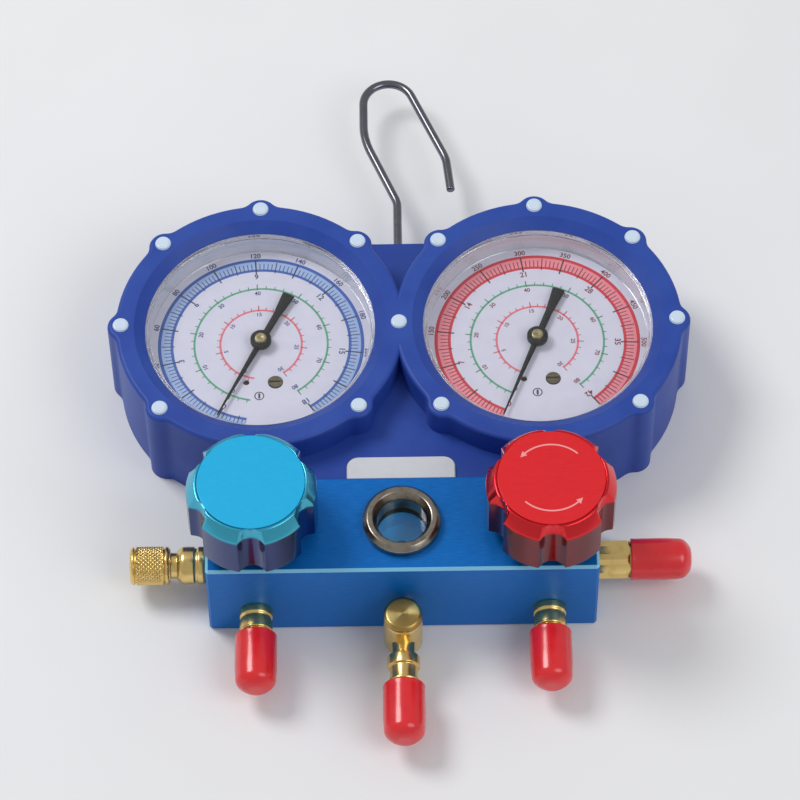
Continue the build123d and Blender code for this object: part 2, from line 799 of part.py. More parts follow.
with BuildPart() as gauge_cover:
    with Locations(*gauge_centres):
        add(cover_round.part)
    # Web that keeps the middle stud's seat level between the two rounds
    with BuildSketch(Plane.XY):
        with Locations((0, gauge_height)):
            Rectangle(2 * web_half_width, web_length)
    extrude(amount=cover_depth)
    # Low web above, which carries the hook, and low panel below, which meets the block
    with BuildSketch(Plane.XY) as hook_web:
        with Locations((0, (hook_web_top + gauge_height) / 2)):
            Rectangle(2 * hook_web_half_width, hook_web_top - gauge_height)
        fillet(hook_web.vertices().group_by(Axis.Y)[-1], hook_web_corner)
    extrude(amount=hook_web_depth)
    with BuildSketch(Plane.XY):
        with Locations((0, (panel_bottom + foot_panel_top) / 2)):
            Rectangle(2 * foot_panel_half_width, foot_panel_top - panel_bottom)
    extrude(amount=foot_panel_depth)
    # Seats for the two gauge cases, open at the back inside a lip and bevelled at the front
    for centre_x, centre_y in gauge_centres:
        with BuildSketch(upright_plane(centre_x, centre_y)):
            Polygon(
                (0, 0),
                (cover_back_opening, 0),
                (cover_back_opening, cover_back_lip),
                (cover_bore, cover_back_lip),
                (cover_bore, case_front + lens_flange_thickness + free_gap),
                (lens_radius + free_gap, case_front + lens_flange_thickness + free_gap),
                (lens_radius + free_gap, lens_front),
                (cover_bevel_radius, cover_depth),
                (0, cover_depth),
                align=None,
            )
        revolve(axis=Axis((centre_x, centre_y, 0), (0, 0, 1)), mode=Mode.SUBTRACT)
    # Clearance for the gauge necks
    with BuildSketch(Plane(origin=(0, panel_bottom, port_level), x_dir=(-1, 0, 0), z_dir=(0, 1, 0))):
        with Locations((-gauge_offset, 0), (gauge_offset, 0)):
            Circle(case_hole_radius + neck_side_gap)
    extrude(amount=gauge_height - cover_back_opening - panel_bottom, mode=Mode.SUBTRACT)
    # Stud holes, the shared one in the web
    with BuildSketch(Plane.XY.offset(cover_depth - stud_sink)):
        with Locations(*stud_places):
            Circle(stud_diameter / 2)
    extrude(amount=stud_sink, mode=Mode.SUBTRACT)
    # Hole for the hook's bush and head
    with BuildSketch(Plane(origin=(0, hook_web_top, hook_level), x_dir=(1, 0, 0), z_dir=(0, -1, 0))):
        Circle(bush_diameter / 2 + thread_gap)
    extrude(amount=hook_pocket_length, mode=Mode.SUBTRACT)
gauge_cover.part.label = "gauge_cover"
export_step(gauge_cover.part, "parts/gauge_cover.step")

with BuildPart() as cover_studs:
    with BuildSketch(Plane.XY.offset(cover_depth - stud_sink)):
        with Locations(*stud_places):
            Circle(stud_diameter / 2)
    extrude(amount=stud_sink + stud_rise)
    chamfer(cover_studs.edges().group_by(Axis.Z)[-1], stud_edge)
cover_studs.part.label = "cover_studs"
export_step(cover_studs.part, "parts/cover_studs.step")

with BuildPart() as face_plate:
    with BuildSketch(Plane.XY.offset(foot_panel_depth)) as plate_outline:
        with Locations((0, plate_bottom + plate_height / 2)):
            Rectangle(plate_width, plate_height)
        fillet(plate_outline.vertices(), plate_corner)
    extrude(amount=plate_gauge)
face_plate.part.label = "face_plate"
export_step(face_plate.part, "parts/face_plate.step")

# ---------------------------------------------------------------- hook and its bush
bush_bottom = hook_web_top - bush_length

with BuildPart() as hook_bush:
    with BuildSketch(Plane(origin=(0, bush_bottom, hook_level), x_dir=(-1, 0, 0), z_dir=(0, 1, 0))):
        Circle(bush_diameter / 2)
        Circle(wire_diameter / 2 + running_gap, mode=Mode.SUBTRACT)
    extrude(amount=bush_length)
hook_bush.part.label = "hook_bush"
export_step(hook_bush.part, "parts/hook_bush.step")

with BuildPart() as hook:
    hook_head_top = bush_bottom - free_gap
    with BuildLine(Plane.XY.offset(hook_level)) as hook_path:
        FilletPolyline(
            (0, hook_head_top - hook_head_length / 2),
            (0, hook_web_top + hook_straight),
            (-hook_left_side, hook_web_top + hook_left_bend_rise),
            (-hook_left_side, hook_web_top + hook_apex_rise),
            (hook_right_side, hook_web_top + hook_right_bend_rise),
            (hook_tip_side, hook_web_top + hook_tip_rise),
            radius=(hook_foot_bend, hook_side_bend, hook_apex_bend, hook_tip_bend),
        )
    with BuildSketch(Plane(origin=hook_path.line @ 0, z_dir=hook_path.line % 0)):
        Circle(wire_diameter / 2)
    sweep()
    fillet(hook.faces().sort_by(Axis.X)[-1].edges(), hook_tip_round)
    with BuildSketch(Plane(origin=(0, hook_head_top, hook_level), x_dir=(1, 0, 0), z_dir=(0, -1, 0))):
        Circle(hook_head_diameter / 2)
    extrude(amount=hook_head_length)
hook.part.label = "hook"
export_step(hook.part, "parts/hook.step")

# ---------------------------------------------------------------- gauges: case, lens, dial and movement
pivot_x, pivot_y = polar(sector_centre_distance, sector_direction)
tail_x = pivot_x + tail_length * cos(radians(tail_direction))
tail_y = pivot_y + tail_length * sin(radians(tail_direction))
tip_x, tip_y = polar(tube_radius, tube_tip_angle)
link_length = hypot(tip_x - tail_x, tip_y - tail_y)
link_angle = degrees(atan2(tip_y - tail_y, tip_x - tail_x))
mesh_direction = sector_direction + 180
tip_block_top = port_level + tube_height / 2 + tip_block_rise
rim_start = mesh_direction - sector_sweep_up - sector_margin
rim_end = mesh_direction + sector_sweep_down + sector_margin
teeth_before_mesh = int((mesh_direction - rim_start) / tooth_pitch - 0.5)
first_tooth = mesh_direction - tooth_pitch * (teeth_before_mesh + 0.5)
tooth_total = int((rim_end - first_tooth) / tooth_pitch)
sector_root = sector_radius - tooth_dedendum
pinion_root = pinion_radius - tooth_dedendum
pillar_places = [
    (-pillar_side, -left_pillar_drop),
    (pivot_x, pivot_y + sector_radius + sector_pillar_gap),
    (pillar_side, -right_pillar_drop),
]
tube_inner_radius = tube_radius - tube_wall_across / 2
tube_foot_angle = 180 + degrees(acos((socket_block_width / 2 + end_float) / tube_inner_radius))
neck_inside_radius = case_neck_radius - case_wall
socket_block_drop = sqrt(neck_inside_radius ** 2 - (socket_block_width / 2) ** 2) - free_gap
socket_block_start = gauge_height - socket_block_drop
plate_foot_y = socket_block_length / 2 - socket_block_drop
plate_outline_places = [(0, 0), (pivot_x, pivot_y), (0, plate_foot_y), *pillar_places]

for side, sign in valve_sides:
    gauge_x = sign * gauge_offset
    gauge_axis = Axis((gauge_x, gauge_height, 0), (0, 0, 1))
    pointer_angle = low_pointer_angle if side == "low" else high_pointer_angle

    # Drawn steel case: a cup with a wider mouth, whose step carries the dial
    with BuildPart() as gauge_case:
        with BuildSketch(upright_plane(gauge_x, gauge_height)) as case_section:
            Polygon(
                (0, case_back),
                (case_neck_radius, case_back),
                (case_neck_radius, dial_ledge - case_wall),
                (case_radius, dial_ledge - case_wall),
                (case_radius, case_front),
                (case_radius - case_wall, case_front),
                (case_radius - case_wall, dial_ledge),
                (case_neck_radius - case_wall, dial_ledge),
                (case_neck_radius - case_wall, case_back + case_wall),
                (0, case_back + case_wall),
                align=None,
            )
            fillet(case_section.vertices().group_by(Axis.Y)[0].sort_by(Axis.X)[-1], case_corner)
        revolve(axis=gauge_axis)
        with BuildSketch(Plane(origin=(gauge_x, gauge_height - case_radius, port_level),
                               x_dir=(-1, 0, 0), z_dir=(0, 1, 0))):
            Circle(case_hole_radius)
        extrude(amount=case_radius / 2, mode=Mode.SUBTRACT)
    gauge_case.part.label = f"{side}_gauge_case"
    export_step(gauge_case.part, f"parts/{side}_gauge_case.step")

    # Clear lens: front plate, flange on the case's rim and a skirt that holds the dial down
    with BuildPart() as gauge_lens:
        skirt_radius = case_radius - case_wall - thread_gap
        with BuildSketch(upright_plane(gauge_x, gauge_height)) as lens_section:
            Polygon(
                (0, lens_front - lens_thickness),
                (skirt_radius - lens_skirt_wall, lens_front - lens_thickness),
                (skirt_radius - lens_skirt_wall, dial_top),
                (skirt_radius, dial_top),
                (skirt_radius, case_front),
                (case_radius, case_front),
                (case_radius, case_front + lens_flange_thickness),
                (lens_radius, case_front + lens_flange_thickness),
                (lens_radius, lens_front),
                (0, lens_front),
                align=None,
            )
            fillet(lens_section.vertices().group_by(Axis.Y)[-1].sort_by(Axis.X)[-1], lens_edge_round / 3)
        revolve(axis=gauge_axis)
    gauge_lens.part.label = f"{side}_gauge_lens"
    export_step(gauge_lens.part, f"parts/{side}_gauge_lens.step")

    with BuildPart() as gauge_dial:
        with BuildSketch(Plane(origin=(gauge_x, gauge_height, dial_ledge))):
            Circle(case_radius - case_wall - dial_edge_gap)
            Circle(pointer_arbor_diameter / 2 + free_gap, mode=Mode.SUBTRACT)
            with Locations((zero_screw_x, zero_screw_y)):
                Circle(zero_screw_head / 2 + free_gap, mode=Mode.SUBTRACT)
            with Locations((-zero_screw_x, zero_screw_y)):
                Circle(dial_peg_radius, mode=Mode.SUBTRACT)
        extrude(amount=dial_thickness)
    gauge_dial.part.label = f"{side}_gauge_dial"
    export_step(gauge_dial.part, f"parts/{side}_gauge_dial.step")

    # Brass socket: thread in the block, wrench hexagon, neck into the case and the movement's block
    with BuildPart() as gauge_socket:
        with BuildSketch(port_plane(gauge_x)):
            Polygon(
                (0, block_top - spigot_length),
                (spigot_diameter / 2, block_top - spigot_length),
                (spigot_diameter / 2, block_top),
                (socket_neck_diameter / 2, block_top),
                (socket_neck_diameter / 2, socket_block_start),
                (0, socket_block_start),
                align=None,
            )
        revolve(axis=Axis((gauge_x, 0, port_level), (0, 1, 0)))
        with BuildSketch(Plane(origin=(gauge_x, block_top, port_level),
                               x_dir=(-1, 0, 0), z_dir=(0, 1, 0))):
            RegularPolygon(socket_hex / 2, 6, major_radius=False)
        extrude(amount=socket_hex_length)
        with BuildSketch(Plane(origin=(gauge_x, socket_block_start, socket_block_bottom))):
            Rectangle(socket_block_width, socket_block_length, align=(Align.CENTER, Align.MIN))
        extrude(amount=socket_block_top - socket_block_bottom)
        with BuildSketch(Plane(origin=(gauge_x, block_top - spigot_length, port_level),
                               x_dir=(-1, 0, 0), z_dir=(0, 1, 0))):
            Circle(socket_bore / 2)
        extrude(amount=gauge_height - tube_radius - block_top + spigot_length, mode=Mode.SUBTRACT)
    gauge_socket.part.label = f"{side}_gauge_socket"
    export_step(gauge_socket.part, f"parts/{side}_gauge_socket.step")

    # Bourdon tube: a flattened tube bent into a C, closed by a tip block
    with BuildPart() as bourdon_tube:
        foot_x, foot_y = polar(1, tube_foot_angle)
        tube_plane = Plane(origin=(gauge_x, gauge_height, port_level), x_dir=(foot_x, foot_y, 0),
                           z_dir=(-foot_y, foot_x, 0))
        with BuildSketch(tube_plane):
            with Locations((tube_radius, 0)):
                SlotOverall(tube_height, tube_wall_across, rotation=90)
        revolve(axis=Axis((gauge_x, gauge_height, 0), (0, 0, -1)),
                revolution_arc=tube_foot_angle - tube_tip_angle)
        with BuildSketch(Plane(origin=(gauge_x, gauge_height, port_level - tube_height / 2))):
            with Locations(Location((tip_x, tip_y), tube_tip_angle)):
                Rectangle(tip_block_width, tip_block_length)
        extrude(amount=tube_height + tip_block_rise)
    bourdon_tube.part.label = f"{side}_bourdon_tube"
    export_step(bourdon_tube.part, f"parts/{side}_bourdon_tube.step")

    # Movement frame: back plate on the socket, with three pillars up to the bridge
    with BuildPart() as movement_frame:
        with BuildSketch(Plane(origin=(gauge_x, gauge_height, plate_level))):
            with Locations(*plate_outline_places):
                Circle(pillar_diameter)
            make_hull()
            Circle(pointer_arbor_diameter / 2 + running_gap, mode=Mode.SUBTRACT)
            with Locations((pivot_x, pivot_y)):
                Circle(sector_arbor_diameter / 2 + running_gap, mode=Mode.SUBTRACT)
        extrude(amount=plate_thickness)
        with BuildSketch(Plane(origin=(gauge_x, gauge_height, plate_level + plate_thickness))):
            with Locations(*pillar_places):
                Circle(pillar_diameter / 2)
        extrude(amount=bridge_level - plate_level - plate_thickness)
    movement_frame.part.label = f"{side}_movement_frame"
    export_step(movement_frame.part, f"parts/{side}_movement_frame.step")

    with BuildPart() as movement_bridge:
        with BuildSketch(Plane(origin=(gauge_x, gauge_height, bridge_level))):
            with Locations((0, 0), (pivot_x, pivot_y), *pillar_places):
                Circle(pillar_diameter)
            make_hull()
            Circle(pointer_arbor_diameter / 2 + running_gap, mode=Mode.SUBTRACT)
            with Locations((pivot_x, pivot_y)):
                Circle(sector_arbor_diameter / 2 + running_gap, mode=Mode.SUBTRACT)
            with Locations((zero_screw_x, zero_screw_y)):
                Circle(zero_screw_shank / 2 + running_gap, mode=Mode.SUBTRACT)
        extrude(amount=plate_thickness)
    movement_bridge.part.label = f"{side}_movement_bridge"
    export_step(movement_bridge.part, f"parts/{side}_movement_bridge.step")

    # Toothed sector: rim with teeth, two arms, hub, and the tail that the link pulls
    with BuildPart() as gear_sector:
        with BuildSketch(Plane(origin=(gauge_x + pivot_x, gauge_height + pivot_y, sector_level))):
            Circle(sector_root)
            Circle(sector_root - sector_rim, mode=Mode.SUBTRACT)
            Polygon(
                (0, 0),
                polar(2 * sector_radius, rim_start),
                polar(2 * sector_radius, (rim_start + rim_end) / 2),
                polar(2 * sector_radius, rim_end),
                mode=Mode.INTERSECT,
                align=None,
            )
            Circle(sector_arbor_diameter / 2 + sector_hub_wall)
            with PolarLocations(0, 2, start_angle=rim_start + sector_arm_inset,
                                angular_range=rim_end - rim_start - 2 * sector_arm_inset, endpoint=True):
                with Locations((sector_root / 2 - sector_rim / 4, 0)):
                    Rectangle(sector_root - sector_rim / 2, sector_arm)
            with Locations(Location((0, 0), tail_direction)):
                SlotCenterPoint((tail_length / 2, 0), (tail_length, 0), sector_arm + tail_extra_width)
            for tooth in range(tooth_total):
                with Locations(Location((0, 0), first_tooth + tooth * tooth_pitch)):
                    Polygon(
                        (sector_root - tooth_root_overlap, -tooth_root_width / 2),
                        (sector_radius + tooth_addendum, -tooth_tip_width / 2),
                        (sector_radius + tooth_addendum, tooth_tip_width / 2),
                        (sector_root - tooth_root_overlap, tooth_root_width / 2),
                        align=None,
                    )
            with Locations(Location(polar(tail_length, tail_direction))):
                Circle(link_pin_diameter / 2 + running_gap, mode=Mode.SUBTRACT)
        extrude(amount=sector_thickness)
        with BuildSketch(Plane(origin=(gauge_x + pivot_x, gauge_height + pivot_y, plate_level + end_float))):
            Circle(sector_arbor_diameter / 2)
        extrude(amount=bridge_level + plate_thickness - plate_level - 2 * end_float)
    gear_sector.part.label = f"{side}_gear_sector"
    export_step(gear_sector.part, f"parts/{side}_gear_sector.step")

    with BuildPart() as pointer_pinion:
        with BuildSketch(Plane(origin=(gauge_x, gauge_height, pinion_bottom))):
            Circle(pinion_root)
            for tooth in range(pinion_teeth):
                with Locations(Location((0, 0), sector_direction + tooth * 360 / pinion_teeth)):
                    Polygon(
                        (pinion_root - tooth_root_overlap, -tooth_root_width / 2),
                        (pinion_radius + tooth_addendum, -tooth_tip_width / 2),
                        (pinion_radius + tooth_addendum, tooth_tip_width / 2),
                        (pinion_root - tooth_root_overlap, tooth_root_width / 2),
                        align=None,
                    )
        extrude(amount=pinion_top - pinion_bottom)
        with BuildSketch(Plane(origin=(gauge_x, gauge_height, plate_level + end_float))):
            Circle(pointer_arbor_diameter / 2)
        extrude(amount=pointer_level - plate_level - end_float)
    pointer_pinion.part.label = f"{side}_pointer_pinion"
    export_step(pointer_pinion.part, f"parts/{side}_pointer_pinion.step")

    # Link from the sector's tail to the tube's tip: one pin up through the tail, one down on to the tip
    with BuildPart() as link:
        link_plane = Plane(
            origin=(gauge_x + tail_x, gauge_height + tail_y, link_level),
            x_dir=(cos(radians(link_angle)), sin(radians(link_angle)), 0),
            z_dir=(0, 0, 1),
        )
        with BuildSketch(link_plane):
            with Locations((link_length / 2, 0)):
                SlotCenterToCenter(link_length, link_width)
        extrude(amount=link_thickness)
        with BuildSketch(link_plane.offset(link_thickness)):
            Circle(link_pin_diameter / 2)
        extrude(amount=sector_level + sector_thickness + free_gap - link_level - link_thickness)
        with BuildSketch(link_plane):
            with Locations((link_length, 0)):
                Circle(link_pin_diameter / 2)
        extrude(amount=tip_block_top + free_gap - link_level)
    link.part.label = f"{side}_link"
    export_step(link.part, f"parts/{side}_link.step")

    # Pointer: tapered needle one way, paddle-shaped balance tail the other
    with BuildPart() as pointer:
        tip_dir_x, tip_dir_y = polar(1, pointer_angle)
        with BuildSketch(Plane(origin=(gauge_x, gauge_height, pointer_level),
                               x_dir=(tip_dir_x, tip_dir_y, 0), z_dir=(0, 0, 1))):
            Polygon(
                (pointer_reach, -pointer_tip_width / 2),
                (pointer_reach, pointer_tip_width / 2),
                (0, pointer_root_width / 2),
                (pointer_paddle_length - pointer_tail, pointer_paddle_width / 2 - pointer_paddle_taper),
                (-pointer_tail, pointer_paddle_width / 2),
                (-pointer_tail, -pointer_paddle_width / 2),
                (pointer_paddle_length - pointer_tail, pointer_paddle_taper - pointer_paddle_width / 2),
                (0, -pointer_root_width / 2),
                align=None,
            )
        extrude(amount=pointer_thickness)
        with BuildSketch(Plane(origin=(gauge_x, gauge_height, pointer_level))):
            Circle(pointer_hub_radius)
        extrude(amount=pointer_hub_height)
        with BuildSketch(Plane(origin=(gauge_x, gauge_height, pointer_level + pointer_hub_height))):
            Circle(pointer_cap_radius)
        extrude(amount=pointer_cap_height)
    pointer.part.label = f"{side}_pointer"
    export_step(pointer.part, f"parts/{side}_pointer.step")

    with BuildPart() as zero_screw:
        screw_centre = (gauge_x + zero_screw_x, gauge_height + zero_screw_y)
        screw_head_bottom = bridge_level + plate_thickness + free_gap
        with BuildSketch(Plane(origin=(*screw_centre, bridge_level))):
            Circle(zero_screw_shank / 2)
        extrude(amount=plate_thickness + free_gap)
        with BuildSketch(Plane(origin=(*screw_centre, screw_head_bottom))):
            Circle(zero_screw_head / 2)
        extrude(amount=dial_top - screw_head_bottom + zero_screw_rise)
        with BuildSketch(Plane(origin=(*screw_centre, dial_top))):
            Rectangle(zero_screw_head, zero_screw_slot)
        extrude(amount=zero_screw_rise, mode=Mode.SUBTRACT)
    zero_screw.part.label = f"{side}_zero_screw"
    export_step(zero_screw.part, f"parts/{side}_zero_screw.step")
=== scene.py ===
"""Looks of the two-valve refrigerant manifold: finishes, turned fittings, knobs, dials, lenses and hook."""
import json
from math import atan2, cos, degrees, pi, radians, sin, sqrt

import bmesh
import bpy
from mathutils import Matrix, Vector


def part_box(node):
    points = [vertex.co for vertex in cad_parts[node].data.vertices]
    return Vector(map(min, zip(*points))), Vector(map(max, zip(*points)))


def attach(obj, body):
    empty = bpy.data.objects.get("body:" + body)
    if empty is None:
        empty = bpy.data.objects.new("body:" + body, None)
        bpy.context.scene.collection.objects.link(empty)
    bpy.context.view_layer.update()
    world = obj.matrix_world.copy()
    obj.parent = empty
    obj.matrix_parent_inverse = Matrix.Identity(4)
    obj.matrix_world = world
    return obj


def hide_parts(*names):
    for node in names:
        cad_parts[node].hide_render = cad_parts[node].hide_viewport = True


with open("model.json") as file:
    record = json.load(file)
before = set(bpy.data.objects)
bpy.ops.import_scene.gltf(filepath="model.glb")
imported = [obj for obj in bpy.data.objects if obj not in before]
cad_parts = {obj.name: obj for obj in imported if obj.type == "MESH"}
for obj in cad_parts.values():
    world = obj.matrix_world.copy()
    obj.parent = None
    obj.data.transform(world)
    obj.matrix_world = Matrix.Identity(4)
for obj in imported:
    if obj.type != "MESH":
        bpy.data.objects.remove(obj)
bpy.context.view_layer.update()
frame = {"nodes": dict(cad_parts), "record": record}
nodes = frame["nodes"]

MM = 0.001
DEGREES = 180 / pi          # in a radian
X, Y, Z = range(3)
UP = (0, 0, 1)
SIDES = ("low", "high")


# ---------------------------------------------------------------- shader values and finishes
def linear(red, green, blue):
    """A screen colour in 0-255 steps as the linear colour that a shader takes."""
    steps = [c / 255 for c in (red, green, blue)]
    return tuple(c / 12.92 if c <= 0.04045 else ((c + 0.055) / 1.055) ** 2.4 for c in steps)


def middle(node):
    """Middle of a node's box, in millimetres."""
    low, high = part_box(node)
    return (low + high) / (2 * MM)


def span(node, axis):
    """Lowest and highest place of a node along an axis, in millimetres."""
    low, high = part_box(node)
    return low[axis] / MM, high[axis] / MM


def width(node, axis):
    """Size of a node along an axis, in millimetres."""
    low, high = span(node, axis)
    return high - low


BLOCK_LEFT, BLOCK_RIGHT = span("manifold_block", X)
BLOCK_FOOT = span("manifold_block", Y)[0]
BLOCK_FRONT = span("manifold_block", Z)[1]


class Value:
    """A shader socket whose arithmetic adds Math nodes."""

    def __init__(self, finish, socket):
        self.finish = finish
        self.socket = socket

    def math(self, operation, *others):
        return self.finish.add("Math", {"operation": operation}, self, *others)

    def __add__(self, other):
        return self.math("ADD", other)

    __radd__ = __add__

    def __mul__(self, other):
        return self.math("MULTIPLY", other)

    __rmul__ = __mul__

    def __sub__(self, other):
        return self.math("SUBTRACT", other)

    def __rsub__(self, other):
        return self.finish.add("Math", {"operation": "SUBTRACT"}, other, self)

    def __truediv__(self, other):
        return self.math("DIVIDE", other)

    def __mod__(self, other):
        return self.math("FLOORED_MODULO", other)

    def __gt__(self, other):
        return self.math("GREATER_THAN", other)

    def __lt__(self, other):
        return self.math("LESS_THAN", other)

    def __abs__(self):
        return self.math("ABSOLUTE")

    def sign(self):
        return self.math("SIGN")

    def root(self):
        return self.math("SQRT")

    def sine(self):
        return self.math("SINE")

    def angle_from(self, across):
        """Angle in radians of a direction whose run is across and whose rise is this value."""
        return self.math("ARCTAN2", across)

    def step(self, low, high):
        """0 below low, 1 above high, smooth between."""
        smooth = {"interpolation_type": "SMOOTHSTEP"}
        return self.finish.add("MapRange", smooth, self, low, high, 0.0, 1.0)

    def band(self, centre, half_width, soft):
        """1 within half_width of centre, falling to 0 over soft."""
        return 1 - abs(self - centre).step(half_width, half_width + soft)


def distance(x, y):
    """How far a place lies from the origin of x and y."""
    return (x * x + y * y).root()


class Finish:
    """A material whose nodes are added one call at a time."""

    def __init__(self, name, **constants):
        self.material = bpy.data.materials.new(name)
        self.material.use_nodes = True
        self.tree = self.material.node_tree
        self.tree.nodes.clear()
        self.surface = self.tree.nodes.new("ShaderNodeBsdfPrincipled")
        self.output = self.tree.nodes.new("ShaderNodeOutputMaterial")
        self.tree.links.new(self.surface.outputs[0], self.output.inputs["Surface"])
        for socket, value in constants.items():
            self.set(socket.replace("_", " "), value)

    def add(self, kind, settings=None, *inputs, output=0, **named):
        """Adds a node of a kind, gives it its settings, then values or links for its sockets."""
        node = self.tree.nodes.new("ShaderNode" + kind)
        for key, value in (settings or {}).items():
            setattr(node, key, value)
        for index, value in enumerate(inputs):
            self.feed(node.inputs[index], value)
        for socket, value in named.items():
            self.feed(node.inputs[socket.replace("_", " ")], value)
        return Value(self, node.outputs[output])

    def feed(self, socket, value):
        """Links a Value to a socket, or sets the socket's own value."""
        if isinstance(value, Value):
            self.tree.links.new(value.socket, socket)
        elif isinstance(value, tuple) and len(value) == 3 and len(socket.default_value) == 4:
            socket.default_value = (*value, 1)
        else:
            socket.default_value = value

    def set(self, socket, value):
        self.feed(self.surface.inputs[socket], value)

    def place(self, centre=(0, 0, 0)):
        """x, y and z in millimetres from a centre given in metres."""
        coordinates = self.add("TexCoord", output="Object")
        moved = self.add("VectorMath", {"operation": "SUBTRACT"}, coordinates, tuple(centre))
        scaled = self.add("VectorMath", {"operation": "SCALE"}, moved, Scale=1 / MM)
        split = self.add("SeparateXYZ", {}, scaled).socket.node
        return [Value(self, split.outputs[axis]) for axis in (X, Y, Z)]

    def noise(self, size_mm, detail=3.0, stretch=(1, 1, 1)):
        """Noise from 0 to 1 whose grains are about size_mm across."""
        coordinates = self.add("TexCoord", output="Object")
        mapped = self.add("Mapping", {}, coordinates, Scale=tuple(s / (size_mm * MM) for s in stretch))
        return self.add("TexNoise", {}, mapped, Scale=1.0, Detail=detail)

    def mix(self, mask, under, over):
        """Colour that is under where the mask is 0 and over where it is 1."""
        node = self.add("Mix", {"data_type": "RGBA"}).socket.node
        for index, value in ((0, mask), (6, under), (7, over)):
            self.feed(node.inputs[index], value)
        return Value(self, node.outputs[2])

    def bump(self, height, distance_mm, strength):
        self.set("Normal", self.add("Bump", {}, Height=height, Distance=distance_mm * MM, Strength=strength))

    def wear(self, colour, worn, size_mm, amount):
        """Base colour with soft patches of a second one."""
        patches = self.noise(size_mm).step(0.45, 0.75) * amount
        self.set("Base Color", self.mix(patches, colour, worn))


CHAMFER_REACH = 0.95        # how far from a corner the painted chamfer highlight reaches
CHAMFER_FADE = 1.5


def painted_chamfer_highlight(first, second):
    """Mask for the painted highlight on the chamfer between two faces: 1 there, given how far past each face
    a place lies, negative inside.
    """
    near_both = (first > -CHAMFER_REACH) * (second > -CHAMFER_REACH)
    return (first + second).step(-CHAMFER_FADE, -CHAMFER_REACH) * near_both


WELL_RADIUS = 8.3           # sight-glass well, whose floor gets painted light
WELL_START = 5.0            # below the block's front


def anodised_finish():
    """Light blue anodising, with a painted highlight on the chamfers and painted light down in the
    sight-glass well.
    """
    finish = Finish("light_blue_anodising_painted_highlights", Metallic=0.25, Specular_IOR_Level=0.25)
    x, y, z = finish.place()
    grain = finish.noise(0.25, 4.0, stretch=(0.06, 1, 1))
    past_front = z - BLOCK_FRONT
    # rim masks the painted highlight along the block's front chamfers
    rim = painted_chamfer_highlight(BLOCK_FOOT - y, past_front) + painted_chamfer_highlight(abs(x) - BLOCK_RIGHT, past_front)
    radius = distance(x, y)
    past_well = radius.step(WELL_RADIUS, WELL_RADIUS + 0.2)
    # painted light: the well's floor under the sight glass is painted bright blue, as if lit
    painted_well_light = (1 - past_well) * (1 - past_front.step(-WELL_START, 1 - WELL_START))
    body = finish.mix(grain.step(0.35, 0.7), linear(4, 102, 188), linear(10, 116, 202))
    body = finish.mix(painted_well_light, body, linear(70, 200, 246))
    # the chamfers' pale blue is a painted highlight, not a colour of the anodising
    finish.set("Base Color", finish.mix(rim * 0.75, body, linear(150, 222, 246)))
    finish.set("Roughness", 0.3 + grain * 0.16)
    finish.bump(grain, 0.02, 0.35)
    return finish.material


def brass_finish():
    """Yellow brass with faint dull patches."""
    finish = Finish("turned_brass", Metallic=1.0)
    cloud = finish.noise(3.0, 4.0)
    fine = finish.noise(0.35, 2.0)
    bright = linear(236, 206, 134)
    dull = tuple(channel * share for channel, share in zip(bright, (0.72, 0.66, 0.55)))
    finish.set("Base Color", finish.mix(cloud.step(0.45, 0.8) * 0.55, bright, dull))
    finish.set("Roughness", 0.2 + cloud * 0.12)
    finish.bump(fine, 0.01, 0.3)
    return finish.material


def turned_top_finish():
    """Brass faced in a lathe: fine rings round the plug's axis, and a painted fan-shaped highlight across the
    face.
    """
    finish = Finish("faced_brass_painted_highlight", Metallic=1.0)
    x, y, _ = finish.place(middle("centre_tee_plug") * MM)
    radius = distance(x, y)
    # painted highlight: a fan of brightness across the faced end, standing for light caught by the turning
    # marks
    painted_fan_highlight = (y.angle_from(x) * 2 + 0.9).sine().step(0.2, 1.0)
    rings = (radius * 26).sine()
    finish.set("Base Color", finish.mix(painted_fan_highlight * 0.7, linear(176, 146, 84), linear(238, 214, 140)))
    finish.set("Roughness", 0.24 + finish.noise(2.0) * 0.1)
    finish.bump(rings, 0.012, 0.5)
    return finish.material


def nickel_finish():
    """Dark nickel with fine turning rings round the sight glass."""
    finish = Finish("turned_nickel", Metallic=1.0)
    x, y, _ = finish.place()
    radius = distance(x, y)
    rings = (radius * 28).sine()
    cloud = finish.noise(2.5)
    bright, dark = linear(158, 150, 138), linear(96, 88, 78)
    finish.set("Base Color", finish.mix(cloud.step(0.4, 0.8) * 0.6, bright, dark))
    finish.set("Roughness", 0.14 + cloud * 0.14)
    finish.bump(rings, 0.012, 0.4)
    return finish.material


def cover_finish():
    """Satin blue rubber with a fine moulded grain."""
    finish = Finish("blue_moulded_rubber", Specular_IOR_Level=0.3)
    grain = finish.noise(0.45, 5.0)
    cloud = finish.noise(18.0, 3.0)
    deep, pale = linear(38, 70, 160), linear(50, 84, 172)
    finish.set("Base Color", finish.mix(cloud.step(0.35, 0.7) * 0.6, deep, pale))
    finish.set("Roughness", 0.36 + grain * 0.16)
    finish.bump(grain, 0.03, 0.5)
    return finish.material


def plain_finish(name, colour, worn, roughness, size_mm=1.5, bump_mm=0.01, **constants):
    """One colour with faint patches of a second and a fine grain."""
    finish = Finish(name, **constants)
    finish.wear(linear(*colour), linear(*worn), size_mm * 3, 0.3)
    grain = finish.noise(size_mm)
    finish.set("Roughness", roughness + grain * 0.1)
    finish.bump(grain, bump_mm, 0.4)
    return finish.material


CROWN_START, CROWN_FULL = 5.4, 4.0      # where the crown's painted highlight starts and is full, below the knob's top


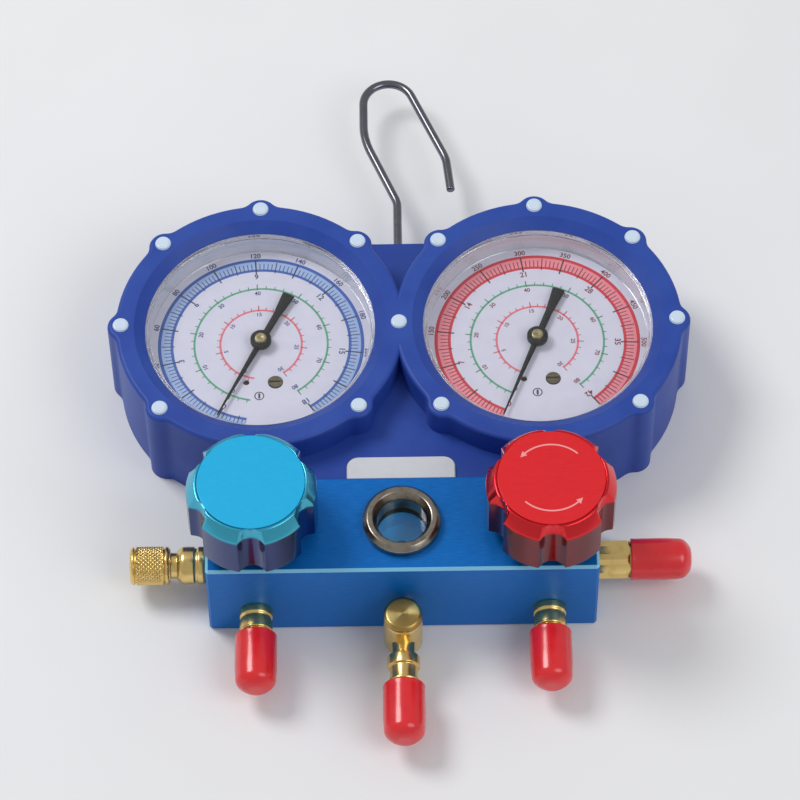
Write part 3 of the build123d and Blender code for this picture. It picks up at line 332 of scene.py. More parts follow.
def knob_finish(name, wall, bevel, knob):
    """Gloss anodising, with painted shade darkening the lobed wall and a painted highlight brightening the
    bevelled crown.
    """
    finish = Finish(name, Metallic=0.85, Coat_Weight=0.35, Coat_Roughness=0.08)
    _, _, z = finish.place()
    top = span(knob, Z)[1]
    # painted highlight on the crown; below it the wall keeps a darker colour as painted shade
    crown = z.step(top - CROWN_START, top - CROWN_FULL)
    cloud = finish.noise(4.0)
    paler = tuple(channel * 1.5 for channel in linear(*wall))
    dark = finish.mix(cloud.step(0.35, 0.75) * 0.4, linear(*wall), paler)
    finish.set("Base Color", finish.mix(crown, dark, linear(*bevel)))
    finish.set("Roughness", 0.17 + cloud * 0.1)
    finish.bump(finish.noise(0.3), 0.006, 0.3)
    return finish.material


ARROW_RADIUS = 12.6
ARROW_HALF_SWEEP = 44.0     # degrees each way from the middle of an arrow's shaft
ARROW_HALF_LINE = 0.22
ARROW_TIP_BEYOND = 8.0      # degrees from the end of the shaft to the tip
ARROW_HEAD_LENGTH = 2.2
ARROW_HEAD_SPREAD = 0.5     # half the head's width for each millimetre behind its tip


def disc_finish(name, colour, worn, arrow_centre=None):
    """Painted disc; with a centre given, two curved arrows are printed round it."""
    finish = Finish(name, Metallic=0.1, Specular_IOR_Level=0.25, Coat_Weight=0.08, Coat_Roughness=0.2)
    grain = finish.noise(0.5, 4.0, stretch=(0.2, 1, 1))
    paint = finish.mix(grain.step(0.3, 0.8) * 0.35, linear(*colour), linear(*worn))
    if arrow_centre is not None:
        x, y, _ = finish.place(arrow_centre)
        radius = distance(x, y)
        turn = abs(y).angle_from(x * y.sign()) * DEGREES
        shaft = radius.band(ARROW_RADIUS, ARROW_HALF_LINE, 0.1) * turn.band(90, ARROW_HALF_SWEEP, 0.6)
        tip = 90 + ARROW_HALF_SWEEP + ARROW_TIP_BEYOND
        before_tip = (tip - turn) / DEGREES * ARROW_RADIUS
        outside_head = (abs(radius - ARROW_RADIUS) - before_tip * ARROW_HEAD_SPREAD).step(-0.08, 0.04)
        head = (1 - outside_head) * (before_tip < ARROW_HEAD_LENGTH) * (before_tip > 0)
        printed = (shaft + head).step(0.2, 0.6)
        paint = finish.mix(printed * 0.7, paint, linear(250, 190, 190))
    finish.set("Base Color", paint)
    finish.set("Roughness", 0.34 + grain * 0.1)
    finish.bump(grain, 0.01, 0.3)
    return finish.material


def glass_finish():
    """Clear moulding that bends what is seen through it and lets light through to what lies behind."""
    finish = Finish("clear_lens", Roughness=0.02, IOR=1.46, Transmission_Weight=1.0,
                    Base_Color=(0.98, 0.99, 1.0))
    shadow, diffuse = (finish.add("LightPath", output=f"Is {ray} Ray") for ray in ("Shadow", "Diffuse"))
    glass = Value(finish, finish.surface.outputs[0])
    clear = finish.add("BsdfTransparent")
    finish.feed(finish.output.inputs["Surface"], finish.add("MixShader", {}, shadow + diffuse, glass, clear))
    return finish.material


POINTER_SWEEP = 300.0       # degrees from zero to the end of the scale
MAJORS = 12                 # large steps of the coloured band
MINORS = 10                 # small steps in each large one
ARC_MAJORS = {"green": 8, "red": 6}
ARC_MINORS = 5
ARC_INKS = {                # of the line, of its ticks
    "green": ((84, 160, 124), (58, 120, 92)),
    "red": ((224, 110, 124), (186, 70, 84)),
}
MARK_RADIUS = 1.5           # ringed mark below the pointer's hub
MARK_STROKE = (0.3, 1.0)    # half its width, half its length


def dial_finish(name, centre, zero_angle, look):
    """White dial printed with a coloured band, ticks, two inner arcs and a ringed mark."""
    finish = Finish(name)
    x, y, _ = finish.place(centre)
    below_zero = look["below"]
    radius = distance(x, y)
    turn = y.angle_from(x) * DEGREES
    swept = (zero_angle + below_zero - turn) % 360
    on_scale = swept < POINTER_SWEEP + below_zero + 0.5
    from_zero = swept - below_zero
    paper = finish.mix(finish.noise(6.0).step(0.3, 0.8) * 0.5, linear(214, 213, 230), linear(202, 202, 222))

    def ticks(count, inside, outside, half_width_mm):
        """1 on radial lines, count of them over the sweep, between two radii."""
        spacing = POINTER_SWEEP / count
        nearest = abs((from_zero + spacing / 2) % spacing - spacing / 2) * radius / DEGREES
        reach = radius.band((inside + outside) / 2, (outside - inside) / 2, 0.08)
        return (1 - nearest.step(half_width_mm, half_width_mm + 0.1)) * reach * on_scale

    outer, inner = look["band"]
    dark = linear(24, 28, 44)
    fill = radius.band((outer + inner) / 2, (outer - inner) / 2, 0.1) * on_scale
    colour = finish.mix(fill, paper, linear(*look["fill"]))
    colour = finish.mix(radius.band(outer, 0.5, 0.14) * on_scale, colour, linear(*look["line"]))
    colour = finish.mix(radius.band(inner, 0.42, 0.14) * on_scale, colour, linear(*look["line"]))
    band_ticks = (
        (MAJORS * MINORS, inner + 0.3, outer - 1.6, 0.09),
        (MAJORS * 2, inner - 0.9, outer - 0.8, 0.12),
        (MAJORS, inner - 1.5, outer, 0.2),
    )
    for tick in band_ticks:
        colour = finish.mix(ticks(*tick), colour, dark)
    for arc, (line, tick) in ARC_INKS.items():
        line_radius = look[arc]
        count = ARC_MAJORS[arc]
        small = ticks(count * ARC_MINORS, line_radius, line_radius + 1.2, 0.1)
        large = ticks(count, line_radius - 0.4, line_radius + 1.9, 0.15)
        colour = finish.mix(radius.band(line_radius, 0.3, 0.14) * on_scale, colour, linear(*line))
        colour = finish.mix(small, colour, linear(*tick))
        colour = finish.mix(large, colour, linear(*tick))
    mark_x, mark_y = look["mark"]
    aside = x - mark_x
    from_mark = distance(aside, y - mark_y)
    half_width, half_length = MARK_STROKE
    stroke = 1 - abs(aside).step(half_width, half_width + 0.1)
    colour = finish.mix(from_mark.band(MARK_RADIUS, 0.14, 0.1), colour, dark)
    colour = finish.mix(stroke * (1 - from_mark.step(half_length, half_length + 0.1)), colour, dark)
    finish.set("Base Color", colour)
    finish.set("Roughness", 0.42 + finish.noise(0.8) * 0.1)
    return finish.material


def case_finish():
    """Drawn steel with a white painted inside above the dial."""
    finish = Finish("drawn_steel_case")
    _, _, z = finish.place()
    ledge = span("low_gauge_dial", Z)[0]
    inside = z.step(ledge - 0.2, ledge)
    cloud = finish.noise(5.0)
    steel = finish.mix(cloud.step(0.3, 0.8), linear(150, 152, 156), linear(176, 178, 182))
    finish.set("Base Color", finish.mix(inside, steel, linear(214, 216, 226)))
    finish.set("Metallic", 1 - inside)
    finish.set("Roughness", 0.3 + cloud * 0.14)
    return finish.material


# ---------------------------------------------------------------- mesh making
def rounded(points, radius, steps=4):
    """A run of (x, y) points with each corner between its ends rounded."""
    result = [points[0]]
    for before, corner, after in zip(points, points[1:], points[2:]):
        before, corner, after = Vector(before), Vector(corner), Vector(after)
        reach = min(radius, (before - corner).length * 0.45, (after - corner).length * 0.45)
        start = corner + (before - corner).normalized() * reach
        end = corner + (after - corner).normalized() * reach
        for step in range(steps + 1):
            t = step / steps
            result.append(tuple(start * (1 - t) ** 2 + corner * 2 * t * (1 - t) + end * t ** 2))
    result.append(points[-1])
    return result


def dense(start, end, count):
    """count + 1 points from start to end."""
    return [tuple(a + (b - a) * step / count for a, b in zip(start, end)) for step in range(count + 1)]


def standing(origin, axis=UP):
    """Matrix that stands local z, in millimetres, on an axis at an origin in millimetres."""
    turn = Vector(UP).rotation_difference(Vector(axis)).to_matrix().to_4x4()
    return Matrix.Translation(Vector(origin) * MM) @ turn @ Matrix.Scale(MM, 4)


def make_piece(name, verts, faces, place, material, body, replaced=(), sharp=35.0):
    """A clean mesh with its finish, riding a body and standing in for the CAD nodes it replaces."""
    mesh = bpy.data.meshes.new(name)
    mesh.from_pydata(verts, [], faces)
    work = bmesh.new()
    work.from_mesh(mesh)
    bmesh.ops.remove_doubles(work, verts=work.verts, dist=1e-5)
    bmesh.ops.dissolve_degenerate(work, edges=work.edges, dist=1e-6)
    bmesh.ops.recalc_face_normals(work, faces=work.faces)
    work.to_mesh(mesh)
    work.free()
    mesh.transform(place)
    mesh.update()
    mesh.shade_smooth()
    mesh.set_sharp_from_angle(angle=radians(sharp))
    mesh.materials.append(material)
    piece = bpy.data.objects.new(name, mesh)
    bpy.context.scene.collection.objects.link(piece)
    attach(piece, body)
    if replaced:
        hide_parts(*replaced)


def turned(name, profile, place, material, body, slot, replaced=(), segments=96, shape=None, sharp=35.0):
    """A form turned from (radius, height) points; shape(radius, height, angle) may change each radius."""
    verts, faces = [], []
    for radius, height in profile:
        for index in range(segments):
            angle = 2 * pi * index / segments
            r = shape(radius, height, angle) if shape else radius
            verts.append((r * cos(angle), r * sin(angle), height))
    for ring in range(len(profile) - 1):
        for index in range(segments):
            after = (index + 1) % segments
            a, b = ring * segments, (ring + 1) * segments
            faces.append((a + index, a + after, b + after, b + index))
    make_piece(name, verts, faces, place, material, body, replaced, sharp)


def turned_brass(name, profile, place, *replaced, body="manifold", **turning):
    """A turned form in brass."""
    turned(name, profile, place, BRASS, body, "brass", replaced, **turning)


THREAD_PITCH = 1.27         # 20 turns to the inch
THREAD_DEPTH = 0.62
THREAD_FLANK = 2.6          # how steeply a groove falls from its crests


def thread_shape(radius, start, end):
    """Radius of a screw thread between two heights, fading in and out at its ends."""
    def shape(r, height, angle):
        if abs(r - radius) > 0.01 or not start <= height <= end:
            return r
        phase = (height / THREAD_PITCH - angle / (2 * pi)) % 1
        groove = max(0.0, 1 - abs(phase - 0.5) * THREAD_FLANK)
        fade = min(1.0, (height - start) / THREAD_PITCH, (end - height) / THREAD_PITCH)
        return r - THREAD_DEPTH * groove * max(0.0, fade)
    return shape


def smooth_min(a, b, blend):
    """The smaller of two lengths, rounded off where they are nearly equal."""
    share = max(0.0, min(1.0, 0.5 + (b - a) / (2 * blend)))
    return b * (1 - share) + a * share - blend * share * (1 - share)


def hex_radius(across_flats, angle):
    """Distance from a hexagon's centre to its edge."""
    part = (angle + pi / 6) % (pi / 3) - pi / 6
    return across_flats / 2 / cos(part)


# ---------------------------------------------------------------- finishes in use
BRASS = brass_finish()
NICKEL = nickel_finish()
TURNED_TOP = turned_top_finish()
ANODISED = anodised_finish()
COVER = cover_finish()
GLASS = glass_finish()
STEEL_CASE = case_finish()
WHITE = plain_finish("white_stud_plastic", (208, 226, 244), (190, 210, 235), 0.3, Coat_Weight=0.3)
PLATE = plain_finish("bare_plate", (224, 226, 230), (208, 210, 216), 0.32, Metallic=0.3)
VINYL = plain_finish("red_dipped_vinyl", (226, 32, 40), (200, 22, 32), 0.2, size_mm=1.2, bump_mm=0.02,
                     Coat_Weight=0.4, Coat_Roughness=0.12)
SEAL = plain_finish("black_seal_rubber", (22, 22, 24), (34, 34, 36), 0.5)
BLACK = plain_finish("black_pointer_paint", (4, 4, 5), (12, 12, 14), 0.45, Specular_IOR_Level=0.2)
WIRE = plain_finish("hook_wire_steel", (120, 122, 130), (70, 72, 82), 0.14, Metallic=1.0)
POINTER_CAP = plain_finish("dull_pointer_cap", (170, 158, 120), (110, 100, 76), 0.28, Metallic=1.0)
SCREW = plain_finish("dark_screw_steel", (112, 104, 84), (70, 64, 52), 0.3, Metallic=1.0)
KNOBS = {
    # each knob: its wall colour is darkened as painted shade, its crown colour is a painted highlight
    "low": knob_finish("blue_knob_painted_light", (16, 44, 104), (64, 176, 206), "low_knob"),
    "high": knob_finish("red_knob_painted_light", (110, 8, 20), (226, 34, 44), "high_knob"),
}
DISCS = {
    "low": disc_finish("blue_knob_disc", (26, 176, 228), (44, 188, 236)),
    "high": disc_finish("red_knob_disc", (224, 34, 42), (232, 50, 56), middle("high_knob_disc") * MM),
}


def dress(material, *names):
    """Gives CAD nodes a finish."""
    for name in names:
        nodes[name].data.materials.clear()
        nodes[name].data.materials.append(material)


dress(BRASS, *(part["node"] for part in frame["record"]["subparts"] if part["material_slot"] == "brass"))
dress(ANODISED, "manifold_block")
dress(COVER, "gauge_cover")
dress(SEAL, "sight_glass_seal", "valve_packings", "left_cap_seal")
dress(STEEL_CASE, "low_gauge_case", "high_gauge_case")
dress(SCREW, "low_zero_screw", "high_zero_screw")
dress(WIRE, "hook_bush", "hook")
dress(GLASS, "sight_glass_window")


# ---------------------------------------------------------------- knobs
COLOURS = {"low": "blue", "high": "red"}
FLUTES = 6
FLUTE_RADIUS = 4.6
FLUTE_DEPTH = 3.2
FLUTE_BLEND = 0.7           # how softly a flute runs out into the wall
KNOB_BEVEL = 4.4
KNOB_RIM = 1.0              # flat rim of the crown round the disc
KNOB_EDGE = 0.7
KNOB_ROOF = 5.0
KNOB_FOOT = 1.2             # width of the wall's foot
FOOT_EDGE_TOP = 0.75        # the foot's rounded edge ends below this
WALL_STOP = 5.2             # plain wall's end, below the knob's top
SKIRT_BORE = 14.2
HUB_RADIUS = 6.9
HUB_BORE = 3.0
HUB_RISE = 0.4              # hub's foot above the wall's
DISC_GAP = 0.1
DISC_RECESS = 0.9
DISC_EDGE = 0.5


def make_knob(side):
    """Hollow lobed knob with its painted disc let into the crown."""
    knob, insert = f"{side}_knob", f"{side}_knob_disc"
    x, y, _ = middle(knob)
    base, top = span(knob, Z)
    outer = width(knob, X) / 2
    disc = width(insert, X) / 2
    flute_centre = outer + FLUTE_RADIUS - FLUTE_DEPTH

    def lobed(radius, height, angle):
        if radius < disc + 0.3:
            return radius
        part = (angle + pi / 2 + pi / FLUTES) % (2 * pi / FLUTES) - pi / FLUTES
        aside = abs(flute_centre * sin(part))
        wall = outer + 2.0      # clear of the wall between flutes
        if aside < FLUTE_RADIUS:
            wall = flute_centre * cos(part) - sqrt(FLUTE_RADIUS ** 2 - aside ** 2)
        return smooth_min(radius, wall - min(outer - radius, 0.6), FLUTE_BLEND)

    seat, floor, roof = disc + DISC_GAP, top - DISC_RECESS, top - KNOB_ROOF
    rim = rounded([(outer - KNOB_FOOT, base), (outer, base), (outer, top - KNOB_BEVEL),
                   (disc + KNOB_RIM, top), (seat, top), (seat, floor)], KNOB_EDGE, 5)
    foot_edge = [point for point in rim if point[1] <= base + FOOT_EDGE_TOP]
    crown = [point for point in rim if point[1] > base + FOOT_EDGE_TOP]
    wall = dense((outer, base + 1), (outer, top - WALL_STOP), 6)
    recess = [(seat, floor), (disc - 0.2, floor), (HUB_BORE, floor)]
    inside = rounded([(HUB_BORE, floor), (HUB_BORE, base + HUB_RISE), (HUB_RADIUS, base + HUB_RISE),
                      (HUB_RADIUS, roof), (SKIRT_BORE, roof), (SKIRT_BORE, base),
                      (outer - KNOB_FOOT, base)], 0.5, 3)
    profile = foot_edge + wall + crown + recess + inside[1:]
    turned(f"{side}_lobed_knob", profile, standing((x, y, 0)), KNOBS[side], knob, f"knob_{COLOURS[side]}",
           [knob], segments=240, shape=lobed, sharp=40)
    low, high = span(insert, Z)
    outline = rounded([(0, low), (disc, low), (disc, high), (disc - DISC_EDGE, high), (0, high)], 0.25)
    turned(f"{side}_disc_insert", outline, standing((x, y, 0)), DISCS[side], knob, f"disc_{COLOURS[side]}",
           [insert], segments=128)


for side in SIDES:
    make_knob(side)


# ---------------------------------------------------------------- red vinyl caps
CAP_WALL = 1.25
CAP_END_WALL = 1.6
CAP_END_ROUND = 3.4
TO_THE_FOOT = (0, -1, 0)
TO_THE_RIGHT = (1, 0, 0)
TO_THE_LEFT = (-1, 0, 0)


def make_vinyl_cap(port, axis):
    """Dipped cap: slightly flared mouth, faint swell, rounded closed end."""
    node = f"{port}_port_cap"
    along = next(i for i in (X, Y, Z) if axis[i])
    low, high = span(node, along)
    length = high - low
    origin = list(middle(node))
    origin[along] = low if axis[along] > 0 else high
    outer = width(node, Z) / 2
    bore = outer - CAP_WALL
    outline = rounded([(bore, 0.0), (outer, 0.0), (outer - 0.12, 1.4), (outer - 0.02, length * 0.55),
                       (outer - 0.35, length - 2.6), (outer - CAP_END_ROUND, length), (0, length)], 1.6, 6)
    inner = rounded([(0, length - CAP_END_WALL), (bore, length - CAP_END_WALL), (bore, 0.0)], 1.5, 4)
    turned(f"{node}_dipped", outline + inner, standing(origin, axis), VINYL, f"{port}_cap", "cap_vinyl",
           [node], segments=72)


for port in ("low", "high", "centre"):
    make_vinyl_cap(port, TO_THE_FOOT)
make_vinyl_cap("right", TO_THE_RIGHT)


# ---------------------------------------------------------------- brass fittings
THREAD_RADIUS = 5.55        # 7/16 inch
PORT_BORE = 2.4
SPIGOT = 9.0                # length screwed into the block
SPIGOT_RADIUS = 4.8
FACE_GAP = 0.02             # keeps a collar off the face it seats on
FLARE_LENGTH = 2.6
FLARE_DEPTH = 2.0
NECK_LENGTH = 7.6           # hose port's plain neck, before its thread
GROOVE_RADIUS = 5.0
GROOVE = (2.6, 3.2, 4.0, 4.6)       # along the neck: lip, floor's two ends, lip


def make_hose_port(side):
    """Turned port with a grooved neck, a thread and a flare."""
    node = f"{side}_hose_port"
    x, _, z = middle(node)
    length = BLOCK_FOOT - span(node, Y)[0]
    start, end = NECK_LENGTH, length - FLARE_LENGTH
    lip, floor_start, floor_end, far_lip = GROOVE
    neck = rounded([(PORT_BORE, -SPIGOT), (SPIGOT_RADIUS, -SPIGOT), (SPIGOT_RADIUS, FACE_GAP),
                    (THREAD_RADIUS, FACE_GAP), (THREAD_RADIUS, lip), (GROOVE_RADIUS, floor_start),
                    (GROOVE_RADIUS, floor_end), (THREAD_RADIUS, far_lip), (THREAD_RADIUS, start)], 0.3, 3)
    thread = dense((THREAD_RADIUS, start), (THREAD_RADIUS, end), 96)
    flare = rounded([(THREAD_RADIUS, end), (THREAD_RADIUS - FLARE_DEPTH, length), (PORT_BORE, length),
                     (PORT_BORE, -SPIGOT)], 0.2)
    place = standing((x, BLOCK_FOOT, z), TO_THE_FOOT)
    turned_brass(f"{side}_threaded_port", neck + thread[1:] + flare[1:], place, node,
                 shape=thread_shape(THREAD_RADIUS, start, end))


TEE_EDGE = 0.5
TEE_BORE = 3.6
TEE_FLOOR = 4.0             # bore's end above the tee's foot
TEE_STEM_RADIUS = 5.0
TEE_WAIST = (4.2, 3.6)      # radius and length of each part of the spout
TEE_RING = (5.45, 4.0)
TEE_NECK = (4.6, 5.4)
PLUG_SPIGOT_RADIUS = 3.5
PLUG_SPIGOT = 4.5
PLUG_EDGE = 0.9
PLUG_DISH = 0.15
PLUG_DISH_RADIUS = 2.0


def make_tee():
    """Upright tee body with its screwed plug, and a spout with waist, ring, neck and thread."""
    tip, spigot_end = span("centre_tee", Y)
    upright = middle("centre_tee_plug").y
    level = middle("low_hose_port").z
    foot, top = span("centre_tee", Z)
    plug_top = span("centre_tee_plug", Z)[1]
    outer = width("centre_tee_plug", X) / 2
    body = rounded([(0, foot), (outer - 1, foot), (outer, foot + 1), (outer, top - TEE_EDGE),
                    (outer - TEE_EDGE, top), (TEE_BORE, top), (TEE_BORE, foot + TEE_FLOOR)], 0.3)
    turned_brass("tee_body", body, standing((0, upright, 0)), "centre_tee")

    seat, dish = top + FACE_GAP, plug_top - PLUG_DISH
    plug = rounded([(PLUG_SPIGOT_RADIUS, top - PLUG_SPIGOT), (PLUG_SPIGOT_RADIUS, seat), (outer, seat),
                    (outer, plug_top - PLUG_EDGE), (outer - PLUG_EDGE, plug_top), (PLUG_DISH_RADIUS, dish),
                    (0, dish)], 0.4)
    turned("tee_plug_head", plug, standing((0, upright, 0)), TURNED_TOP, "manifold", "brass",
           ["centre_tee_plug"], segments=128)

    block_face = spigot_end - SPIGOT
    stem = rounded([(PORT_BORE, spigot_end), (SPIGOT_RADIUS, spigot_end), (SPIGOT_RADIUS, block_face),
                    (TEE_STEM_RADIUS, block_face), (TEE_STEM_RADIUS, upright + 2)], 0.3)
    forward = standing((0, 0, level), TO_THE_FOOT)
    turned_brass("tee_stem", [(radius, -y) for radius, y in stem], forward)

    waist, waist_length = TEE_WAIST
    ring, ring_length = TEE_RING
    neck, neck_length = TEE_NECK
    waist_end = upright - outer - waist_length
    ring_end = waist_end - ring_length
    neck_end = ring_end - neck_length
    spout = rounded([(waist, upright - 2), (waist, waist_end), (ring, waist_end), (ring, ring_end),
                     (neck, ring_end), (neck, neck_end), (THREAD_RADIUS, neck_end)], 0.5)
    start, end = 0.2 - neck_end, -tip - FLARE_LENGTH
    thread = dense((THREAD_RADIUS, start), (THREAD_RADIUS, end), 80)
    flare = [(THREAD_RADIUS - FLARE_DEPTH, -tip), (PORT_BORE, -tip), (PORT_BORE, 2 - upright)]
    profile = [(radius, -y) for radius, y in spout] + thread + flare
    turned_brass("tee_spout", profile, forward, shape=thread_shape(THREAD_RADIUS, start, end))


RIGHT_HEX_LENGTH = 11.4
HEX_CORNER = 0.9            # length of the turned corners at each end of the hexagon


def make_right_port():
    """Hexagon with turned corners, then thread and flare."""
    start, tip = span("right_side_port", X)
    _, y, z = middle("right_side_port")
    flats = min(width("right_side_port", Y), width("right_side_port", Z))
    corner = flats / 2 / cos(pi / 6)
    seat, hex_end = BLOCK_RIGHT + FACE_GAP, BLOCK_RIGHT + RIGHT_HEX_LENGTH
    thread_start, thread_end = hex_end + 0.8, tip - FLARE_LENGTH
    threaded = thread_shape(THREAD_RADIUS, thread_start, thread_end)

    def shape(radius, height, angle):
        if radius > THREAD_RADIUS + 0.2:
            return min(radius, hex_radius(flats, angle))
        return threaded(radius, height, angle)

    profile = [(PORT_BORE, start), (SPIGOT_RADIUS, start), (SPIGOT_RADIUS, seat), (flats / 2 - 0.3, seat),
               (corner, BLOCK_RIGHT + HEX_CORNER), (corner, hex_end - HEX_CORNER), (flats / 2 - 0.2, hex_end),
               (THREAD_RADIUS, hex_end)]
    profile += dense((THREAD_RADIUS, thread_start), (THREAD_RADIUS, thread_end), 72)
    profile += [(THREAD_RADIUS - FLARE_DEPTH, tip), (PORT_BORE, tip), (PORT_BORE, start)]
    turned_brass("right_hexagon_port", profile, standing((0, y, z), TO_THE_RIGHT), "right_side_port",
                 segments=144, shape=shape, sharp=28)


LEFT_BODY_LENGTH = 10.5
LEFT_WAIST = (4.35, 2.5)    # radius and length
LEFT_GROOVE = (3.4, 3.9, 4.5, 5.0)      # from the block: lip, floor's two ends, lip
LEFT_GROOVE_DEPTH = 0.5
LEFT_SHOULDER = (1.4, 1.6)  # depth and length of the slope down to the waist
LEFT_THREAD_EDGE = 1.2


def make_left_port():
    """Round grooved body, waist and thread for the screw cap."""
    tip, spigot_end = span("left_side_port", X)
    _, y, z = middle("left_side_port")
    body = width("left_side_port", Z) / 2
    face, reach = -BLOCK_LEFT, -tip
    body_end = face + LEFT_BODY_LENGTH
    waist, waist_length = LEFT_WAIST
    thread_start, thread_end = body_end + waist_length, reach - LEFT_THREAD_EDGE
    lip, floor_start, floor_end, far_lip = (face + place for place in LEFT_GROOVE)
    groove = body - LEFT_GROOVE_DEPTH
    slope, slope_length = LEFT_SHOULDER
    seat = face + FACE_GAP
    profile = rounded([(PORT_BORE, -spigot_end), (SPIGOT_RADIUS, -spigot_end), (SPIGOT_RADIUS, seat),
                       (body - 1.0, seat), (body, face + 1.5), (body, lip), (groove, floor_start),
                       (groove, floor_end), (body, far_lip), (body, body_end - slope_length),
                       (body - slope, body_end), (waist, body_end), (waist, thread_start - 0.2),
                       (THREAD_RADIUS, thread_start - 0.1)], 0.9, 5)
    profile += dense((THREAD_RADIUS, thread_start), (THREAD_RADIUS, thread_end), 60)
    profile += [(THREAD_RADIUS - LEFT_THREAD_EDGE, reach), (PORT_BORE, reach), (PORT_BORE, -spigot_end)]
    turned_brass("left_turned_port", profile, standing((0, y, z), TO_THE_LEFT), "left_side_port",
                 shape=thread_shape(THREAD_RADIUS, thread_start, thread_end))


KNURLS = 26
KNURL_DEPTH = 0.42
KNURL_FADE = 0.5            # length over which the knurl runs out
KNURL_FROM_MOUTH = 2.0
KNURL_FROM_END = 2.2
SCREW_CAP_GROOVE = 0.7      # depth of the groove beside each rim
SCREW_CAP_END_WALL = 1.6
SCREW_CAP_GAP = 0.08


def make_knurled_cap():
    """Screw cap with a diamond knurl between two plain rims."""
    end, mouth = (-place for place in span("left_screw_cap", X))
    _, y, z = middle("left_screw_cap")
    outer = width("left_screw_cap", Z) / 2
    groove = outer - SCREW_CAP_GROOVE
    bore = THREAD_RADIUS + SCREW_CAP_GAP
    knurl_start, knurl_end = mouth + KNURL_FROM_MOUTH, end - KNURL_FROM_END
    pitch = 2 * pi * outer / KNURLS

    def shape(radius, height, angle):
        if abs(radius - outer) > 0.01 or not knurl_start < height < knurl_end:
            return radius
        turn = angle * KNURLS / (2 * pi)
        along = (height - knurl_start) / pitch
        first = abs((turn + along) % 1 - 0.5) * 2
        second = abs((turn - along) % 1 - 0.5) * 2
        valley = max(first, second) ** 3
        fade = min(1.0, (height - knurl_start) / KNURL_FADE, (knurl_end - height) / KNURL_FADE)
        return radius - KNURL_DEPTH * valley * fade

    profile = rounded([(bore, mouth), (outer - 0.5, mouth), (outer - 0.05, mouth + 0.5),
                       (outer - 0.05, mouth + 1.3), (groove, mouth + 1.6), (groove, knurl_start - 0.05),
                       (outer, knurl_start)], 0.2)
    profile += dense((outer, knurl_start), (outer, knurl_end), 72)[1:]
    profile += rounded([(outer, knurl_end), (groove, knurl_end + 0.2), (groove, knurl_end + 0.5),
                        (outer - 0.1, knurl_end + 0.8), (outer - 0.1, end - 0.8), (outer - 1.0, end),
                        (0, end)], 0.25)[1:]
    profile += [(0, end - SCREW_CAP_END_WALL), (bore, end - SCREW_CAP_END_WALL), (bore, mouth)]
    turned_brass("left_knurled_cap", profile, standing((0, y, z), TO_THE_LEFT), "left_screw_cap",
                 body="left_cap", segments=KNURLS * 10, shape=shape, sharp=50)


BONNET_RELIEF = 0.5         # spigot's radius below half the width across flats
BONNET_CORNER = 0.7
BONNET_STEM_GAP = 0.1
BONNET_LEAD_IN = 0.4


def make_bonnet(side):
    """Bonnet: spigot in the block, hexagon with turned corners, bore for the stem."""
    node = f"{side}_valve_bonnet"
    x, y, _ = middle(node)
    low, high = span(node, Z)
    flats = min(width(node, X), width(node, Y))
    corner = flats / 2 / cos(pi / 6)
    spigot, seat = flats / 2 - BONNET_RELIEF, BLOCK_FRONT + FACE_GAP
    bore = width(f"{side}_valve_stem", X) / 2 + BONNET_STEM_GAP
    profile = [(bore, low), (spigot, low), (spigot, seat), (corner, seat), (corner, high - BONNET_CORNER),
               (flats / 2 - 0.3, high), (bore + BONNET_LEAD_IN, high), (bore, high - BONNET_LEAD_IN),
               (bore, low)]

    def shape(radius, height, angle):
        return min(radius, hex_radius(flats, angle)) if radius > flats / 2 - 0.4 else radius

    turned_brass(f"{side}_hexagon_bonnet", profile, standing((x, y, 0)), node, segments=144, shape=shape,
                 sharp=28)


for side in SIDES:
    make_hose_port(side)
for side in SIDES:
    make_bonnet(side)
make_tee()
make_right_port()
make_left_port()
make_knurled_cap()


# ---------------------------------------------------------------- sight glass
RING_BORE = 8.2
RING_SPIGOT_RADIUS = 9.9
RING_RADIUS = 13.0
RING_BEVEL = (1.4, 1.5)     # outer bevel: across, down
RING_DISH = 2.6             # depth of the slope down into the bore


def make_sight_ring():
    """Bevelled ring screwed into the block round the sight glass."""
    low, high = span("sight_glass_ring", Z)
    across, down = RING_BEVEL
    ring = rounded([(RING_BORE, low), (RING_SPIGOT_RADIUS, low), (RING_SPIGOT_RADIUS, BLOCK_FRONT),
                    (RING_RADIUS, BLOCK_FRONT), (RING_RADIUS, high - down), (RING_RADIUS - across, high),
                    (RING_SPIGOT_RADIUS, high), (RING_BORE, high - RING_DISH), (RING_BORE, low)], 0.35, 4)
    turned("sight_glass_bezel", ring, standing((0, 0, 0)), NICKEL, "manifold", "nickel", ["sight_glass_ring"],
           segments=128)


make_sight_ring()


# ---------------------------------------------------------------- dials, lenses and pointers
# band and arcs: radii in mm; below: degrees of scale before zero; step, inner_step: between two numbers
GAUGES = {
    "low": dict(band=(34.9, 30.6), green=22.9, red=14.0, line=(44, 88, 172), fill=(158, 182, 226),
                mark=(-0.5, -21.0), below=17.5, step=20, inner_step=3, ink=(30, 54, 110)),
    "high": dict(band=(34.8, 30.2), green=22.9, red=14.0, line=(206, 40, 58), fill=(240, 138, 150),
                 mark=(-0.5, -21.0), below=0.0, step=50, inner_step=7, ink=(120, 24, 36)),
}
GREEN_STEP, RED_STEP = 10, 5
NUMBER_LIFT = 0.03          # above the dial's face
FONT_SIZE = 1.35            # for a figure of height 1
FONT_WEIGHT = 0.03


